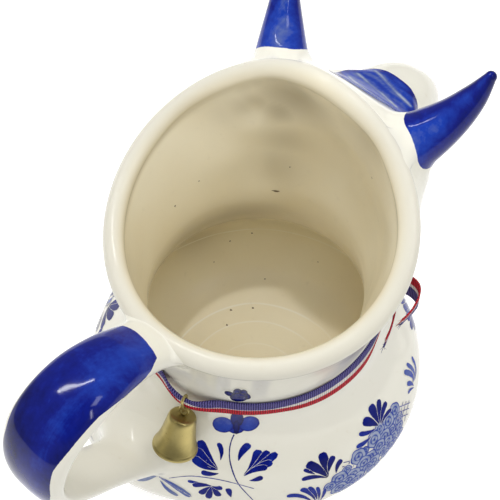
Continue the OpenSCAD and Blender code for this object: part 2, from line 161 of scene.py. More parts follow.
# share, reach, height, half width of the nose, fullness and half angle of the cheeks
HEAD = np.array(
    [
        [0, FRONT_WAIST, WAIST_Z, 15, 0, CHEEK_ANGLE],
        [0.1, FRONT_WAIST + WALL * 0.3, WAIST_Z + WALL * 0.85, 15, CHEEK_OUT * 0.03, CHEEK_ANGLE],
        [0.2, mix(FRONT_WAIST, MUZZLE_Y, 0.44), MUZZLE_Z - 13.5, 11, CHEEK_OUT * 0.34, CHEEK_ANGLE],
        [0.31, MUZZLE_Y - 5.5, MUZZLE_Z - 9.5, MUZZLE_W * 0.9, CHEEK_OUT * 0.63, CHEEK_ANGLE],
        [0.42, MUZZLE_Y, MUZZLE_Z, MUZZLE_W, CHEEK_OUT * 0.8, CHEEK_ANGLE],
        [0.53, MUZZLE_Y - 6, MUZZLE_Z + 9.8, MUZZLE_W * 0.96, CHEEK_OUT * 0.92, CHEEK_ANGLE * 1.07],
        [
            0.65,
            mix(FOREHEAD_Y, MUZZLE_Y, 0.42),
            mix(FOREHEAD_Z, MUZZLE_Z, 0.27),
            BRIDGE_W,
            CHEEK_OUT,
            CHEEK_ANGLE * 1.17,
        ],
        [0.78, FOREHEAD_Y, FOREHEAD_Z, FOREHEAD_W, CHEEK_OUT * 0.86, BROW_ANGLE * 0.97],
        [
            0.9,
            mix(FOREHEAD_Y, FRONT_LIP, 0.5),
            mix(FOREHEAD_Z, FRONT_TOP, 0.5),
            29,
            CHEEK_OUT * 0.5,
            BROW_ANGLE * 1.1,
        ],
        [1, FRONT_LIP, FRONT_TOP, 29, LIP_R - WALL / 2, BROW_ANGLE * 1.2],
    ]
)


def head_at(s):
    last = len(HEAD) - 1
    i = int(np.clip(np.searchsorted(HEAD[:, 0], s, side="right") - 1, 0, last - 1))
    t = (s - HEAD[i, 0]) / (HEAD[i + 1, 0] - HEAD[i, 0])
    return through(HEAD[max(i - 1, 0)], HEAD[i], HEAD[i + 1], HEAD[min(i + 2, last)], t)


# The bosses that carry the horns
BOSS_ANGLE = math.degrees(math.atan(HORN_ROOT[0] / -HORN_ROOT[1]))
BOSS_OUT, BOSS_UP = 3.4, 1.7


def neck_ring(a, s):
    head = head_at(s)
    base = float(neck_radius(0, s))
    lift = head[2] - float(neck_height(0, s))
    nose = max(head[1] - base - head[4], 0)
    middle = mix(base + head[4], head[1], 0.55)
    nose_lobe = lobe(turned(a), math.degrees(math.atan(head[3] / middle)) * 1.15)
    cheek_lobe = lobe(turned(a), head[5] * 1.15, 3)
    most = max(nose + head[4], 0.01)
    boss = lobe(np.abs(turned(a)) - BOSS_ANGLE, 14, 2) * lobe(s - 0.86, 0.11, 2)
    full = head[4] * cheek_lobe + nose * nose_lobe
    radius = neck_radius(a, s) + full + BOSS_OUT * boss
    return place(radius, a, neck_height(a, s) + lift * full / most + BOSS_UP * boss)


def neck_inner_ring(a, s):
    dent = (head_at(s)[1] - float(neck_radius(0, s))) * 0.12 * lobe(turned(a), 34, 2)
    return place(neck_radius(a, s) - (WALL + 1.2 * (1 - s) ** 2) + dent, a, neck_height(a, s))


SHOULDER_Z = mix(BELLY_Z, WAIST_Z, 0.68)
BELLY = [
    [FOOT_R - FOOT_ROUND, 0],
    [FOOT_R, 0.56],
    [mix(FOOT_R, BELLY_R, 0.22), 4],
    [mix(FOOT_R, BELLY_R, 0.58), 9.5],
    [mix(FOOT_R, BELLY_R, 0.88), 17],
    [BELLY_R, BELLY_Z],
    [mix(WAIST_R, BELLY_R, 0.77), mix(BELLY_Z, SHOULDER_Z, 0.42)],
    [mix(WAIST_R, BELLY_R, 0.34), mix(BELLY_Z, SHOULDER_Z, 0.76)],
    [mix(WAIST_R, BELLY_R, 0.09), SHOULDER_Z],
    [mix(WAIST_R, BELLY_R, 0.02), mix(SHOULDER_Z, WAIST_Z, 0.5)],
]
INNER = [
    [mix(WAIST_R, BELLY_R, 0.02) - 0.96, mix(SHOULDER_Z, WAIST_Z, 0.5)],
    [mix(WAIST_R, BELLY_R, 0.12) - 0.36, SHOULDER_Z - WALL * 0.3],
    [mix(WAIST_R, BELLY_R, 0.37), mix(BELLY_Z, SHOULDER_Z, 0.74)],
    [mix(WAIST_R, BELLY_R, 0.79), mix(BELLY_Z, SHOULDER_Z, 0.4)],
    [BELLY_R, BELLY_Z],
    [mix(FOOT_R, BELLY_R, 0.88), 17],
    [mix(FOOT_R, BELLY_R, 0.6), 10.5],
    [mix(FOOT_R, BELLY_R, 0.28), FLOOR_T + WALL * 0.9],
    [FOOT_R, FLOOR_T + WALL * 0.22],
    [FOOT_R - WALL * 0.8, FLOOR_T],
]


def belly_ring(a, p, thick=0.0):
    share = (max(p[1] - BELLY_Z, 0) / (WAIST_Z - BELLY_Z)) ** 2
    return place(p[0] - thick + (waist_radius(a) - WAIST_R) * share, a, p[1])


# Meshes


class Shape:
    """Points, faces, normals and values of one mesh, in millimetres."""

    def __init__(self):
        self.points, self.faces, self.normals = [], [], []
        self.values = {}

    def add(self, points, faces, normals=None, **values):
        start = sum(len(p) for p in self.points)
        self.points.append(np.asarray(points, float).reshape(-1, 3))
        if normals is not None:
            self.normals.append(np.asarray(normals, float).reshape(-1, 3))
        self.faces += [tuple(i + start for i in f) for f in faces]
        count = len(self.points[-1])
        for name in set(self.values) | set(values):
            stored = self.values.setdefault(name, [np.zeros(start)] if start else [])
            stored.append(np.broadcast_to(np.asarray(values.get(name, 0.0), float).ravel(), (count,)))

    def build(self, name, material, body, slot, replaces=()):
        points = np.concatenate(self.points)
        mesh = bpy.data.meshes.new(name)
        mesh.from_pydata((points * MM).tolist(), [], self.faces)
        for key, parts in self.values.items():
            layer = mesh.attributes.new(key, "FLOAT", "POINT")
            layer.data.foreach_set("value", np.concatenate(parts).astype(np.float32))
        mesh.polygons.foreach_set("use_smooth", [True] * len(mesh.polygons))
        if self.normals:
            mesh.normals_split_custom_set_from_vertices(np.concatenate(self.normals).tolist())
        mesh.materials.append(material)
        mesh.update()
        piece = bpy.data.objects.new(name, mesh)
        bpy.context.scene.collection.objects.link(piece)
        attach(piece, body)
        if replaces:
            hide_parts(*replaces)
        return piece


def tube_faces(rows, around, close=True, caps=(), loop=False):
    """Quads between rows of points. Each row is closed on itself if close is true, a loop joins
    the last row to the first, and caps names the end rows that get a face of their own."""
    faces = []
    for k in range(rows if loop else rows - 1):
        a, b = k * around, (k + 1) % rows * around
        for i in range(around if close else around - 1):
            j = (i + 1) % around
            faces.append((a + i, a + j, b + j, b + i))
    if "first" in caps:
        faces.append(tuple(range(around))[::-1])
    if "last" in caps:
        faces.append(tuple(range((rows - 1) * around, rows * around)))
    return faces


def grid_normals(grid, close=True):
    """A smooth normal at each point of rows of points, by differences."""
    if close:
        du = np.roll(grid, -1, axis=1) - np.roll(grid, 1, axis=1)
    else:
        du = np.gradient(grid, axis=1)
    dv = np.gradient(grid, axis=0)
    return unit(np.cross(du, dv))


def refined(keys, parts):
    """Rings between key rings, parts of them from each to the next, on smooth curves."""
    keys = np.asarray(keys)
    steps = np.maximum(np.linalg.norm(np.diff(keys, axis=0), axis=2).mean(axis=1), 1e-3)
    slope = np.diff(keys, axis=0) / steps[:, None, None]
    tangent = np.empty_like(keys)
    tangent[0], tangent[-1] = slope[0], slope[-1]
    w = (steps[1:] / (steps[:-1] + steps[1:]))[:, None, None]
    tangent[1:-1] = slope[:-1] * w + slope[1:] * (1 - w)
    rings = []
    for k in range(len(keys) - 1):
        leaving, arriving = steps[k] * tangent[k], steps[k] * tangent[k + 1]
        rings += [flowing(keys[k], leaving, keys[k + 1], arriving, t) for t in np.arange(parts) / parts]
    return np.array([*rings, keys[-1]])


AROUND, KEY_PARTS = 288, 2


def body_grid():
    """The jug's skin as rows from the foot's middle, up, over the lip and down to the floor's middle."""
    a = np.arange(AROUND) * 360 / AROUND
    a = a - 34 * sin_d(a)
    keys, inner = [], []

    def add(ring, inside):
        keys.append(ring)
        inner.append(inside)

    for share in (0.002, 0.5, 0.85, 0.96):
        add(place((FOOT_R - FOOT_ROUND) * share, a, 0), 0)
    for t in np.linspace(0, 1, 28):
        add(belly_ring(a, curve(BELLY, t)[0]), 0)
    for s in np.linspace(0, 0.95, 39):
        add(neck_ring(a, s), 0)
    for turn in np.linspace(-20, 200, 12):
        add(
            place(rim_radius(a) + LIP_R * cos_d(turn), a, rim_height(a) + LIP_R * sin_d(turn)),
            float(smooth(turn, 80, 170)),
        )
    for s in np.linspace(0.93, 0, 22):
        add(neck_inner_ring(a, s), 1)
    for t in np.linspace(0, 1, 20):
        add(belly_ring(a, curve(INNER, t)[0], WALL), 1)
    floor_r = INNER[-1][0] - WALL
    for share in (0.9, 0.75, 0.6, 0.45, 0.3, 0.15, 0.002):
        add(place(floor_r * share, a, FLOOR_T), 1)
    rings = refined(keys, KEY_PARTS)
    inside = np.interp(np.arange(len(rings)) / KEY_PARTS, np.arange(len(inner)), inner)
    return rings, inside, a


class Skin:
    """A surface that marks and roots are laid on."""

    def __init__(self, grid):
        self.rows, self.around = grid.shape[:2]
        self.points = grid.reshape(-1, 3)
        self.normals = grid_normals(grid).reshape(-1, 3)
        faces = tube_faces(self.rows, self.around)
        self.triangles = [t for f in faces for t in ((f[0], f[1], f[2]), (f[0], f[2], f[3]))]
        self.tree = BVHTree.FromPolygons(self.points.tolist(), self.triangles)

    def land(self, start, direction, reach=1000.0):
        """The first point that a ray meets, with the smooth normal there, or None."""
        where, _, index, _ = self.tree.ray_cast(Vector(start), Vector(direction), reach)
        return None if where is None else self._with_normal(where, index)

    def nearest(self, point):
        where, _, index, _ = self.tree.find_nearest(Vector(point))
        return self._with_normal(where, index)

    def _with_normal(self, where, index):
        ids = list(self.triangles[index])
        p = np.array(where)
        a, b, c = self.points[ids]
        whole = np.linalg.norm(np.cross(b - a, c - a)) + 1e-12
        u = np.linalg.norm(np.cross(b - p, c - p)) / whole
        v = np.linalg.norm(np.cross(c - p, a - p)) / whole
        n = u * self.normals[ids[0]] + v * self.normals[ids[1]] + (1 - u - v) * self.normals[ids[2]]
        return p, unit(n)


# The camera, fitted to the photograph's angle


EYE = np.array([-91.790, 112.144, 305.542])
RIGHT = np.array([-0.76261, -0.64686, 0.00085])
UP = np.array([0.54255, -0.63891, 0.54538])
BACK = np.array([-0.35224, 0.41637, 0.83819])
FOCAL_PX, HALF_PX = 1001.88, 250
SENSOR_MM = 36


def pixel_ray(x, y):
    return unit(RIGHT * (x - HALF_PX) / FOCAL_PX + UP * (HALF_PX - y) / FOCAL_PX - BACK)


camera_data = bpy.data.cameras.new("camera")
camera_data.sensor_width = SENSOR_MM
camera_data.lens = SENSOR_MM * FOCAL_PX / (2 * HALF_PX)
camera_data.clip_start, camera_data.clip_end = 0.01, 10
camera = bpy.data.objects.new("camera", camera_data)
camera_turn = Matrix([RIGHT, UP, BACK]).transposed().to_4x4()
camera.matrix_world = Matrix.Translation(Vector(EYE * MM)) @ camera_turn
bpy.context.scene.collection.objects.link(camera)
bpy.context.scene.camera = camera


# Materials


def srgb(r, g, b):
    """A linear colour from the 0 to 255 values of a screen."""
    c = np.array([r, g, b]) / 255
    return (*np.where(c <= 0.04045, c / 12.92, ((c + 0.055) / 1.055) ** 2.4), 1.0)


class Nodes:
    """The node tree of a material or a world, with short calls for the nodes used here."""

    def __init__(self, holder):
        holder.use_nodes = True
        self.holder, self.tree = holder, holder.node_tree
        self.tree.nodes.clear()
        self.coords = self.add("TexCoord")

    def add(self, kind, inputs=(), **settings):
        """A node's outputs; each of its inputs is a value, or the output that is linked to it."""
        node = self.tree.nodes.new("ShaderNode" + kind)
        for key, value in settings.items():
            setattr(node, key, value)
        for key, value in dict(inputs).items():
            if isinstance(value, bpy.types.NodeSocket):
                self.tree.links.new(value, node.inputs[key])
            else:
                node.inputs[key].default_value = value
        return node.outputs

    def math(self, kind, a, b=0.0):
        return self.add("Math", {0: a, 1: b}, operation=kind)[0]

    def plus(self, a, b):
        return self.math("ADD", a, b)

    def minus(self, a, b):
        return self.math("SUBTRACT", a, b)

    def times(self, a, b):
        return self.math("MULTIPLY", a, b)

    def value(self, name):
        return self.add("Attribute", attribute_name=name)["Fac"]

    def stretched(self, *scale):
        return self.add("Mapping", {"Vector": self.coords["Object"], "Scale": scale})[0]

    def noise(self, scale, detail=2.0, rough=0.5, vector=None, distortion=0.0):
        inputs = {"Scale": scale, "Detail": detail, "Roughness": rough, "Distortion": distortion}
        inputs["Vector"] = vector or self.coords["Object"]
        return self.add("TexNoise", inputs)["Fac"]

    def centred(self, *noise, **options):
        """A noise that goes as far below zero as above it."""
        return self.minus(self.noise(*noise, **options), 0.5)

    def span(self, value, lo, hi, to_lo=0.0, to_hi=1.0, kind="SMOOTHSTEP"):
        """A value taken from one range to another and held within it."""
        inputs = {"Value": value, "From Min": lo, "From Max": hi, "To Min": to_lo, "To Max": to_hi}
        return self.add("MapRange", inputs, interpolation_type=kind)[0]

    def mix(self, share, a, b):
        return self.add("Mix", {0: share, 6: a, 7: b}, data_type="RGBA")[2]

    def ramp(self, value, *stops):
        node = self.tree.nodes.new("ShaderNodeValToRGB")
        self.tree.links.new(value, node.inputs[0])
        marks = node.color_ramp.elements
        while len(marks) < len(stops):
            marks.new(1.0)
        for mark, (at, colour) in zip(marks, stops):
            mark.position, mark.color = at, colour
        return node.outputs[0]

    def bump(self, height, strength, distance):
        return self.add("Bump", {"Height": height, "Strength": strength, "Distance": distance})[0]

    def surface(self, colour, roughness, normal, **more):
        """Gives the material its surface; more are other inputs of the shader."""
        inputs = {"Base Color": colour, "Roughness": roughness, "Normal": normal}
        inputs.update({key.replace("_", " "): value for key, value in more.items()})
        self.add("OutputMaterial", {0: self.add("BsdfPrincipled", inputs)[0]})
        return self.holder


# Half the width of a painted edge in mm, and the value of paint where there is none
MARGIN, UNPAINTED = 0.07, -9.0
# Turning lines inside, in metres: how high the one round the belly is, where those on the floor
# are and how strong, the half widths, how far they wander, and the heights where the floor ends
BELLY_LINE, BELLY_LINE_W = 0.0248, 0.00045
FLOOR_LINES, FLOOR_LINE_W = ((0.0293, 1.0), (0.0226, 0.8), (0.0141, 0.4)), 0.0005
LINE_WANDER, FLOOR_ENDS = 0.004, (0.0055, 0.0075)
# The cobalt, from thin to thick
BLUES = (
    (0.0, srgb(156, 165, 190)),
    (0.22, srgb(96, 112, 160)),
    (0.45, srgb(26, 60, 166)),
    (0.68, srgb(8, 24, 126)),
    (1.0, srgb(1, 5, 72)),
)


def turning_lines_and_highlight(n, inside):
    """Thin lines inside, one round the belly's widest part and some on the floor, painted paler as a
    highlight along them.
    """
    x, y, z = n.add("SeparateXYZ", {0: n.coords["Object"]})
    radius = n.math("SQRT", n.plus(n.times(x, x), n.times(y, y)))
    wander = n.times(n.centred(22), LINE_WANDER)
    low = n.span(z, *FLOOR_ENDS, 1, 0)
    off = n.math("ABSOLUTE", n.minus(n.plus(z, wander), BELLY_LINE))
    lines = n.span(off, 0, BELLY_LINE_W, 1, 0)
    for ring_at, strong in FLOOR_LINES:
        off = n.math("ABSOLUTE", n.minus(n.plus(radius, wander), ring_at))
        lines = n.math("MAXIMUM", lines, n.times(n.span(off, 0, FLOOR_LINE_W, strong, 0), low))
    patchy = n.span(n.noise(45), 0.35, 0.65, 0.25, 1)
    return n.times(n.times(lines, patchy), inside)


def cobalt(n):
    """The blue: darker where the value tone is high, with the brush's washes and streaks."""
    washy = n.centred(150, 4, 0.62, distortion=0.6)
    brushed = n.centred(60, 5, 0.7, vector=n.stretched(1.6, 0.5, 0.8), distortion=1.2)
    depth = n.plus(n.value("tone"), n.times(washy, 0.5))
    depth = n.plus(depth, n.times(brushed, 0.5))
    depth = n.plus(depth, n.times(n.centred(900), 0.14))
    return n.ramp(depth, *BLUES)


def glaze_material(name, shine):
    """Cream tin glaze with cobalt laid where the value paint, in mm inside its edge, is above zero."""
    n = Nodes(bpy.data.materials.new(name))
    inside = n.value("inside")
    broad = n.noise(28)
    outside = n.mix(broad, srgb(232, 229, 215), srgb(237, 235, 223))
    # The warmer cream inside is partly the inner glaze's own colour and partly painted warm light bounced
    # about inside the jug
    within = n.mix(n.span(broad, 0.3, 0.7), srgb(240, 229, 198), srgb(246, 238, 212))
    # Painted shade darkens the cream toward brown inside the jug and over the lip
    cream = n.mix(n.value("stain"), n.mix(inside, outside, within), srgb(146, 132, 100))
    cream = n.mix(n.span(n.noise(420, 3), 0.62, 0.86, 0, 0.25), cream, srgb(212, 202, 176))
    lines = turning_lines_and_highlight(n, inside)
    # Painted highlight: the turning lines are made paler than the cream
    cream = n.mix(n.times(lines, 0.75), cream, srgb(255, 252, 240))
    ragged = n.times(n.centred(900, 3), 0.2)
    cover = n.span(n.plus(n.value("paint"), ragged), -MARGIN, MARGIN)
    rough = n.span(n.noise(60), 0.3, 0.7, 0.055, 0.1, "LINEAR")
    rough = n.plus(rough, n.times(inside, 0.13))
    height = n.minus(n.noise(130), n.times(lines, 0.4))
    bump = n.bump(height, 0.05, 0.002)
    return n.surface(n.mix(cover, cream, cobalt(n)), rough, bump, Specular_IOR_Level=shine)


def speck_material():
    n = Nodes(bpy.data.materials.new("glaze_pinhole"))
    colour = n.mix(n.noise(2500), srgb(74, 58, 42), srgb(138, 118, 88))
    return n.surface(colour, 0.55, n.bump(n.noise(3000), 0.4, 0.0002))


def ribbon_material():
    """Ribbed ribbon: value across picks the stripe, along counts the ribs."""
    n = Nodes(bpy.data.materials.new("striped_ribbon"))
    across = n.plus(n.value("across"), n.times(n.centred(2600), 0.05))

    def stripes(red, white, navy):
        ends = (0.0, 0.35, 0.375, 0.5, 0.525, 1.0)
        return n.ramp(across, *zip(ends, (red, red, white, white, navy, navy)))

    rib = n.math("SINE", n.times(n.value("along"), 2 * math.pi / RIB_MM))
    # Painted highlight and shade on each rib: every stripe is lighter on the crest and darker in the furrow
    dark = stripes(srgb(128, 12, 28), srgb(196, 188, 182), srgb(26, 20, 84))
    light = stripes(srgb(206, 34, 52), srgb(240, 236, 230), srgb(104, 96, 160))
    colour = n.mix(n.span(rib, -0.8, 0.9), dark, light)
    threads = n.noise(3800, vector=n.stretched(1, 1, 0.25))
    colour = n.mix(n.span(threads, 0.5, 0.85, 0, 0.2), colour, srgb(190, 176, 190))
    height = n.plus(n.times(rib, 0.7), threads)
    return n.surface(colour, 0.72, n.bump(height, 0.5, 0.00025), Specular_IOR_Level=0.2)


def brass_material():
    n = Nodes(bpy.data.materials.new("old_brass"))
    drawn = n.noise(900, vector=n.stretched(0.25, 0.25, 3.0))
    colour = n.mix(n.span(n.noise(140, 3), 0.3, 0.7), srgb(190, 174, 114), srgb(156, 143, 92))
    colour = n.mix(n.span(n.noise(1500, 3), 0.62, 0.85, 0, 0.5), colour, srgb(82, 72, 44))
    rough = n.span(drawn, 0.3, 0.7, 0.34, 0.44, "LINEAR")
    return n.surface(colour, rough, n.bump(drawn, 0.06, 0.00005), Metallic=1.0)


GLAZE = glaze_material("tin_glaze", 0.3)
PAINTED = glaze_material("painted_glaze", 0.1)
RIBBON = ribbon_material()
BRASS = brass_material()


# The jug's body


body, body_inside, body_angles = body_grid()
inner_side = body_inside[:, None]


def close_to(grid, centre, width, steep=2.0):
    """How near points are to a place: 1 there, and nothing well past the width."""
    return lobe(np.linalg.norm(grid - np.asarray(centre), axis=2), width, steep)


def swell(grid, near, height):
    """Raises or sinks points along their normals, by the height where near is 1."""
    return grid + grid_normals(grid) * (near * height)[..., None]


# The clay bulges out toward the handle's foot, but not under the jug
BULGE_AT, BULGE_W, BULGE_OUT = place(50, 163, 25), 24, 7.4
bulge = close_to(body, BULGE_AT, BULGE_W, 2.4) * (1 - inner_side) * smooth(body[..., 2], 0.5, 9)
body = swell(body, bulge, BULGE_OUT)
# Hollows and ridges inside, where the head was pressed out: angle, radius, height, width, depth
HOLLOWS = (
    (24, 28, 111, 8, -2.4),
    (-24, 28, 112, 8, -2.4),
    (42, 30.5, 104, 3.4, -0.8),
    (43, 31, 96, 5, 0.7),
    (58, 31.3, 82, 7, 0.6),
    (-15, 33, 84, 8, 0.8),
    (5, 31, 95, 7, -0.8),
    (-50, 31, 90, 9, -0.9),
    (70, 31, 100, 8, -0.8),
)
for angle, radius, height, width, depth in HOLLOWS:
    body = swell(body, close_to(body, place(radius, angle, height), width) * inner_side, depth)
# Painted shade inside, where the cream is darkened to stand for shadow: angle, radius, height, width, how
# much
PAINTED_SHADES = (
    (23, 28, 111, 9, 0.62),
    (30, 30.6, 104, 5, 0.5),
    (27, 32, 91, 7, 0.3),
    (31, 31.6, 79, 8, 0.26),
    (56, 33, 101, 5.5, 0.16),
    (49, 31.8, 103.4, 5, 0.28),
    (41, 31, 106.4, 5, 0.34),
    (48, 31.2, 112.6, 4.4, 0.22),
    (40, 30, 115, 4.4, 0.26),
    (-24, 28, 112, 8, 0.25),
    (68, 46, 30, 12, 0.4),
)
stain = np.zeros(body.shape[:2])
for angle, radius, height, width, much in PAINTED_SHADES:
    near = close_to(body, place(radius, angle, height), width) * inner_side
    stain = np.maximum(stain, much * near)
# More painted shade: low on the wall inside, under the shoulder, and over the lip's brightly lit top
LOW_PAINTED_SHADE, WAIST_PAINTED_SHADE, LIP_PAINTED_SHADE, LIP_FADE = 0.2, 0.6, 0.2, 1.4
body_z = body[..., 2]
stain = np.maximum(stain, LOW_PAINTED_SHADE * lobe(body_z - 37, 7, 2) * (inner_side > 0.99))
waist_shade = lobe(body_z - 56, 8, 2) * lobe(turned(body_angles - 64), 44, 3)
stain = np.maximum(stain, WAIST_PAINTED_SHADE * waist_shade * inner_side)
# Painted shade over the lip tones down its brightly lit top
lip_middle = place(rim_radius(body_angles), body_angles, rim_height(body_angles))
off_lip = np.linalg.norm(body - lip_middle, axis=2) - LIP_R
stain = np.maximum(stain, LIP_PAINTED_SHADE * smooth(LIP_FADE - off_lip, 0, LIP_FADE))
bare = Skin(body)

# Beyond the jug's sides, where rays toward it start
FAR = 140


def outer_point(angle, height):
    """Where the jug's outside is at an angle and a height."""
    return bare.land(place(FAR, angle, height), place(-1, angle, 0))


EYE_ANGLE, EYE_Z, EYE_W, EYE_OUT = 37, 99, 4.4, 1.5
NOSTRIL_X, NOSTRIL_Z, NOSTRIL_W, NOSTRIL_DEEP = 5.2, 88.5, 2.1, 1.1
for side in (-1, 1):
    eye, _ = outer_point(side * EYE_ANGLE, EYE_Z)
    body = swell(body, close_to(body, eye, EYE_W), EYE_OUT)
    nostril, _ = bare.land((side * NOSTRIL_X, -FAR, NOSTRIL_Z), (0, 1, 0))
    body = swell(body, close_to(body, nostril, NOSTRIL_W), -NOSTRIL_DEEP)
skin = Skin(body)

shape = Shape()
shape.add(
    body,
    tube_faces(len(body), AROUND, caps=("first", "last")),
    inside=np.repeat(body_inside, AROUND),
    stain=stain,
    paint=UNPAINTED,
    tone=0.5,
)
shape.build("glazed_body", GLAZE, "jug", "glaze", ["jug_body"])


# Roots that flow onto the body


def height_over(points):
    """How far points lie outside the body."""
    out = []
    for p in points:
        q, n = skin.nearest(p)
        out.append(np.dot(p - q, n))
    return np.array(out)


def evened(values, times=3):
    """Values or points round a ring, made smooth."""
    for _ in range(times):
        values = (np.roll(values, 1, axis=0) + 2 * values + np.roll(values, -1, axis=0)) / 4
    return values


def last_clear(rows_at, ts, reach):
    """Where each line of a limb, followed from its root, is first clear of the body by its reach."""
    heights = np.array([height_over(rows_at(t)) for t in ts])
    start = np.full(heights.shape[1], ts[-1])
    for i in range(heights.shape[1]):
        below = np.nonzero(heights[:, i] < reach[i])[0]
        k = below[-1] if len(below) else 0
        if k + 1 < len(ts):
            lo, hi = heights[k, i], heights[k + 1, i]
            share = np.clip((reach[i] - lo) / max(hi - lo, 1e-6), 0, 1)
            start[i] = mix(ts[k], ts[k + 1], share)
    return evened(start)


ROOT_ROWS, ROOT_SINK = 16, 0.05


def root_rows(lines, ahead, widen, rows=ROOT_ROWS):
    """Rows that flow from the starts of a limb's lines onto the body and end flat on it."""
    centre = lines.mean(axis=0)
    landed, outward = [], []
    for p, d, wide in zip(lines, ahead, widen):
        spot, n = skin.land(p, d, 30) or skin.nearest(p)
        away = p - centre
        away = unit(away - n * np.dot(away, n))
        spot = spot + away * wide
        spot, n = skin.land(spot + n * 5, -n, 14) or skin.nearest(spot)
        landed.append(spot)
        outward.append(away - n * np.dot(away, n))
    on_body = [skin.nearest(p) for p in evened(np.array(landed), 4)]
    landed = np.array([hit[0] for hit in on_body])
    flat = np.array([hit[1] for hit in on_body])
    outward = unit(np.array(outward))
    outward = unit(outward - flat * np.sum(outward * flat, axis=1, keepdims=True))
    span = np.linalg.norm(landed - lines, axis=1, keepdims=True)
    shares = np.linspace(0, 1, rows + 1)[1:]
    grid = np.array([flowing(lines, span * ahead, landed, span * 1.1 * outward, t) for t in shares])
    grid[-1] -= flat * ROOT_SINK
    return grid, flat


def facing_out(grid, normals):
    middle = len(grid) // 2
    out = np.sum(normals[middle] * (grid[middle] - grid[middle].mean(axis=0)))
    return normals if out > 0 else -normals


def lengths_down(grid):
    """How far along its line each point lies, in mm, from the first row."""
    steps = np.linalg.norm(np.diff(grid, axis=0), axis=2)
    return np.concatenate([np.zeros((1, grid.shape[1])), np.cumsum(steps, axis=0)])


# The handle


RIM_REAR_Y = float(rim_radius(180) + LIP_R)
RIM_REAR_Z = float(rim_height(180))
BELLY_REAR_Y = mix(WAIST_R, BELLY_R, 0.87)
HANDLE_LINE = [
    [RIM_REAR_Y - WALL * 0.45, RIM_REAR_Z - LIP_R * 0.9],
    [mix(RIM_REAR_Y, HANDLE_Y, 0.1), mix(RIM_REAR_Z, HANDLE_TOP_Z, 0.22)],
    [mix(RIM_REAR_Y, HANDLE_Y, 0.29), mix(RIM_REAR_Z, HANDLE_TOP_Z, 0.74)],
    [mix(RIM_REAR_Y, HANDLE_Y, 0.5), HANDLE_TOP_Z],
    [mix(RIM_REAR_Y, HANDLE_Y, 0.71), HANDLE_TOP_Z - HANDLE_T * 0.09],
    [mix(RIM_REAR_Y, HANDLE_Y, 0.88), mix(HANDLE_TOP_Z, HANDLE_FOOT_Z, 0.075)],
    [mix(RIM_REAR_Y, HANDLE_Y, 0.98), mix(HANDLE_TOP_Z, HANDLE_FOOT_Z, 0.195)],
    [HANDLE_Y, mix(HANDLE_TOP_Z, HANDLE_FOOT_Z, 0.33)],
    [mix(RIM_REAR_Y, HANDLE_Y, 0.93), mix(HANDLE_TOP_Z, HANDLE_FOOT_Z, 0.47)],
    [mix(RIM_REAR_Y, HANDLE_Y, 0.77), mix(HANDLE_TOP_Z, HANDLE_FOOT_Z, 0.62)],
    [mix(RIM_REAR_Y, HANDLE_Y, 0.57), mix(HANDLE_TOP_Z, HANDLE_FOOT_Z, 0.77)],
    [mix(RIM_REAR_Y, HANDLE_Y, 0.37), mix(HANDLE_TOP_Z, HANDLE_FOOT_Z, 0.91)],
    [BELLY_REAR_Y - WALL * 0.42, HANDLE_FOOT_Z + HANDLE_T * 0.08],
]
HANDLE_WIDTHS = [0.88, 0.82, 0.88, 0.96, 1, 1, 0.96, 0.9, 0.84, 0.79, 0.76, 0.84, 1.15]
HANDLE_THICKS = [1.1, 0.98, 1, 1, 1, 0.98, 0.94, 0.88, 0.82, 0.77, 0.78, 0.95, 1.45]
INNER_FLAT = 0.72
HANDLE_AROUND = 96
handle_turns = np.arange(HANDLE_AROUND) * 360 / HANDLE_AROUND
outerness = sin_d(handle_turns)


def handle_points(ts):
    """The handle's line of each turn, at that turn's own share in ts."""
    ts = np.broadcast_to(ts, (HANDLE_AROUND,)).astype(float)
    step = 0.01
    at = curve(HANDLE_LINE, ts)
    along = unit(
        curve(HANDLE_LINE, np.minimum(ts + step, 1)) - curve(HANDLE_LINE, np.maximum(ts - step, 0))
    )
    fade = 3 * ts**2 - 2 * ts**3
    half_w = HANDLE_W / 2 * curve(HANDLE_WIDTHS, ts) * mix(1, HANDLE_LOW_W / (HANDLE_W * 0.76), fade)
    half_t = HANDLE_T / 2 * curve(HANDLE_THICKS, ts)
    a = handle_turns
    u = np.sign(cos_d(a)) * np.abs(cos_d(a)) ** 0.8 * half_w
    v = np.sign(sin_d(a)) * np.abs(sin_d(a)) ** 0.9 * np.where(sin_d(a) > 0, 1, INNER_FLAT) * half_t
    return np.stack([HANDLE_OFF - u, at[:, 0] - along[:, 1] * v, at[:, 1] + along[:, 0] * v], axis=1)


top_reach = mix(2.6, 0.9, smooth(outerness, -0.2, 0.9))
farness = -cos_d(handle_turns)
broad = smooth(np.maximum(farness, -outerness * 0.45), -0.1, 0.75)
foot_reach = mix(2.4, 8.5, broad) * mix(1, 0.75, smooth(outerness, 0.2, 0.9))
top_t = last_clear(handle_points, np.linspace(0, 0.3, 31), top_reach)
foot_t = last_clear(handle_points, np.linspace(1, 0.6, 41), foot_reach)
handle_grid = np.array([handle_points(mix(top_t, foot_t, share)) for share in np.linspace(0, 1, 130)])
top_ahead = unit(handle_points(top_t - 0.008) - handle_points(top_t + 0.008))
foot_ahead = unit(handle_points(foot_t + 0.008) - handle_points(foot_t - 0.008))
top_weld, top_flat = root_rows(handle_grid[0], top_ahead, mix(2.8, 0.4, smooth(outerness, 0, 0.9)))
foot_weld, foot_flat = root_rows(handle_grid[-1], foot_ahead, mix(3.0, 11.0, broad), 24)
handle_all = np.concatenate([top_weld[::-1], handle_grid, foot_weld])
handle_normals = facing_out(handle_all, grid_normals(handle_all))
handle_normals[0], handle_normals[-1] = top_flat, foot_flat
handle_run = lengths_down(handle_all)
